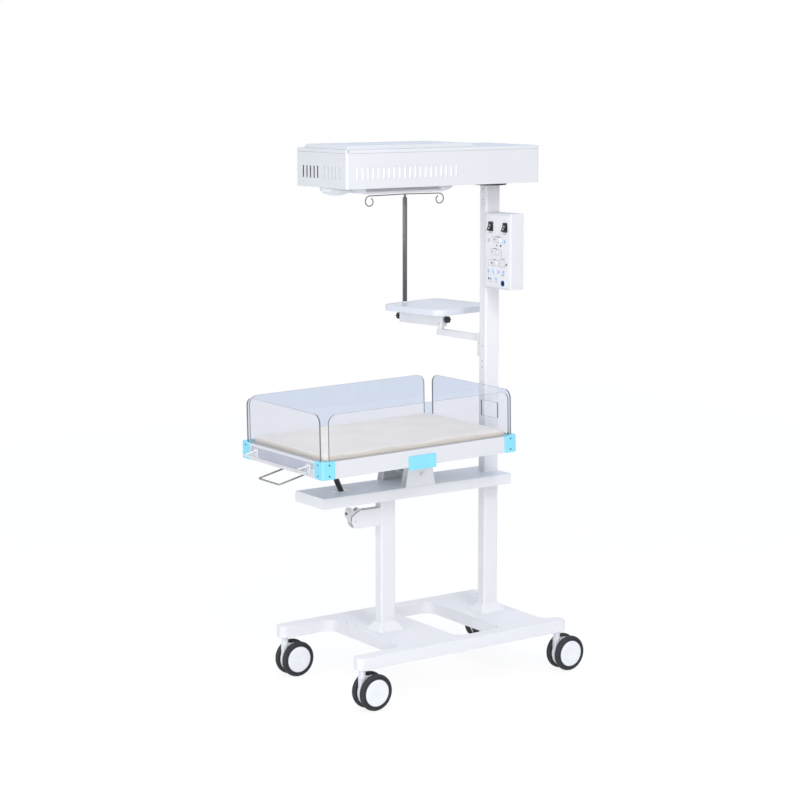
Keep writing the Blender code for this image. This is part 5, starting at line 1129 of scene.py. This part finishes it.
def tray_group():
    softened("tray_bracket", POWDER, 0.0010)
    tray_plate()
    centre_z = (HOLDER_LOW + HOLDER_HIGH) / 2
    star_knob("pivot_knob", SWING @ moved(0.018, 0, centre_z))
    star_knob("pole_knob", SWING @ moved(POLE_X - 0.017, 0, centre_z - 0.005) @ turned(180, "Z"))
    ring = lathe([(0.0092, 0), (0.0150, 0), (0.0150, 0.0016), (0.0125, 0.0042), (0.0092, 0.0050)], 48)
    tray_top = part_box("instrument_tray")[1].z
    part("pole_guide_ring", ring, MOULDED, "instrument_tray", SWING @ moved(POLE_X, 0, tray_top - 0.0016))
    screw = screw_head(0.0026, 0.0014, UPRIGHT)
    at = SWING @ moved(0.004, -0.017, HOLDER_LOW + 0.010)
    part("bracket_set_screw", screw, ZINC, "tray_bracket", at)
    infusion_pole()


# Floor, light and camera

BACKDROP_RAYS = ("Is Camera Ray", "Is Glossy Ray", "Is Transmission Ray")
WARM = (1.0, 0.985, 0.965)
MIDST = (0.1, 0.1, 1.0)


def backdrop_mask(tree):
    """One for the rays that see the backdrop, and zero for those that light the object."""
    path = add(tree, "LightPath")
    total = path.outputs[BACKDROP_RAYS[0]]
    for name in BACKDROP_RAYS[1:]:
        total = maths(tree, "MAXIMUM", total, path.outputs[name])
    return total


def backdrop(tree):
    """White to the eye, pale blue behind one sheet of acrylic and paler behind two."""
    depth = add(tree, "LightPath").outputs["Transparent Depth"]
    one_sheet, two_sheets = (maths(tree, "GREATER_THAN", depth, faces) for faces in (0.5, 2.5))
    behind = tinted(tree, two_sheets, (0.70, 0.775, 0.90), (0.92, 0.92, 0.975))
    return tinted(tree, one_sheet, (1, 1, 1), behind)


def floor():
    """A pale floor that keeps the object's shadow and is nearly white to the eye."""
    made, tree, shader = blank("pale_floor")
    feed(tree, shader, {"Base Color": (0.94, 0.94, 0.94, 1), "Roughness": 0.8})
    glow = add(tree, "Emission", {"Color": backdrop(tree), "Strength": 1.05})
    blend(tree, "Material Output", maths(tree, "MULTIPLY", backdrop_mask(tree), 0.82), shader, glow)
    bm = bmesh.new()
    bmesh.ops.create_grid(bm, x_segments=2, y_segments=2, size=5)
    mesh = meshed("floor", bm)
    mesh.materials.append(made)
    obj = linked("floor", mesh)
    obj.location.z = -0.0002


def surroundings():
    """A pale room that lights the object, bluer overhead and with darker walls at its sides."""
    world = bpy.data.worlds.new("studio")
    bpy.context.scene.world = world
    world.use_nodes = True
    tree = world.node_tree
    room = tree.nodes["Background"]
    coords = add(tree, "TexCoord").outputs["Generated"]
    height = add(tree, "SeparateXYZ", {"Vector": coords}).outputs["Z"]
    away = Vector((LOOK.x, LOOK.y, 0)).normalized()
    along = add(tree, "VectorMath", {0: coords, 1: away}, operation="DOT_PRODUCT").outputs["Value"]
    ends = eased_in(tree, maths(tree, "ABSOLUTE", along), 0.55, 0.90)
    walls = tinted(tree, ends, (0.10, 0.10, 0.12), (0.95, 0.95, 0.97))
    sky = tinted(tree, eased_in(tree, height, 0.10, 0.75), walls, (0.70, 0.75, 0.86))
    feed(tree, room, {"Color": sky, "Strength": 1.04})
    white = add(tree, "Background", {"Color": backdrop(tree)})
    blend(tree, "World Output", backdrop_mask(tree), room, white)


def aimed(place, direction):
    """Where a lamp or camera stands when it looks in a direction."""
    return Matrix.Translation(place) @ direction.to_track_quat("-Z", "Y").to_matrix().to_4x4()


def lamp(name, place, target, size, watts, colour):
    data = bpy.data.lights.new(name, "AREA")
    data.shape = "RECTANGLE"
    data.size, data.size_y = size
    data.energy = watts
    data.color = colour
    linked(name, data).matrix_world = aimed(place, Vector(target) - Vector(place))


def lamps():
    lamp("key", (4.2, -0.8, 4.0), MIDST, (0.8, 0.8), 46.8, WARM)
    lamp("side", (4.2, -0.8, 1.9), MIDST, (2.4, 2.4), 24, WARM)
    lamp("fill", (0.6, -4.6, 1.8), (0.1, 0.1, 0.9), (2.4, 2.0), 51, (0.97, 0.97, 1.0))
    lamp("top", (1.7, -1.5, 3.4), (0.1, -0.1, 0.85), (0.7, 0.7), 9.5, (1.0, 0.99, 0.975))


def camera():
    data = bpy.data.cameras.new("camera")
    data.lens = LENS
    data.sensor_width = 36
    data.clip_end = 100
    obj = linked("camera", data)
    obj.matrix_world = STAND @ aimed(EYE, LOOK)
    bpy.context.scene.camera = obj


casters()
stand()
control_panel()
heater_head()
bed()
tray_group()
floor()
surroundings()
lamps()
camera()
bpy.context.scene.view_settings.view_transform = "Standard"
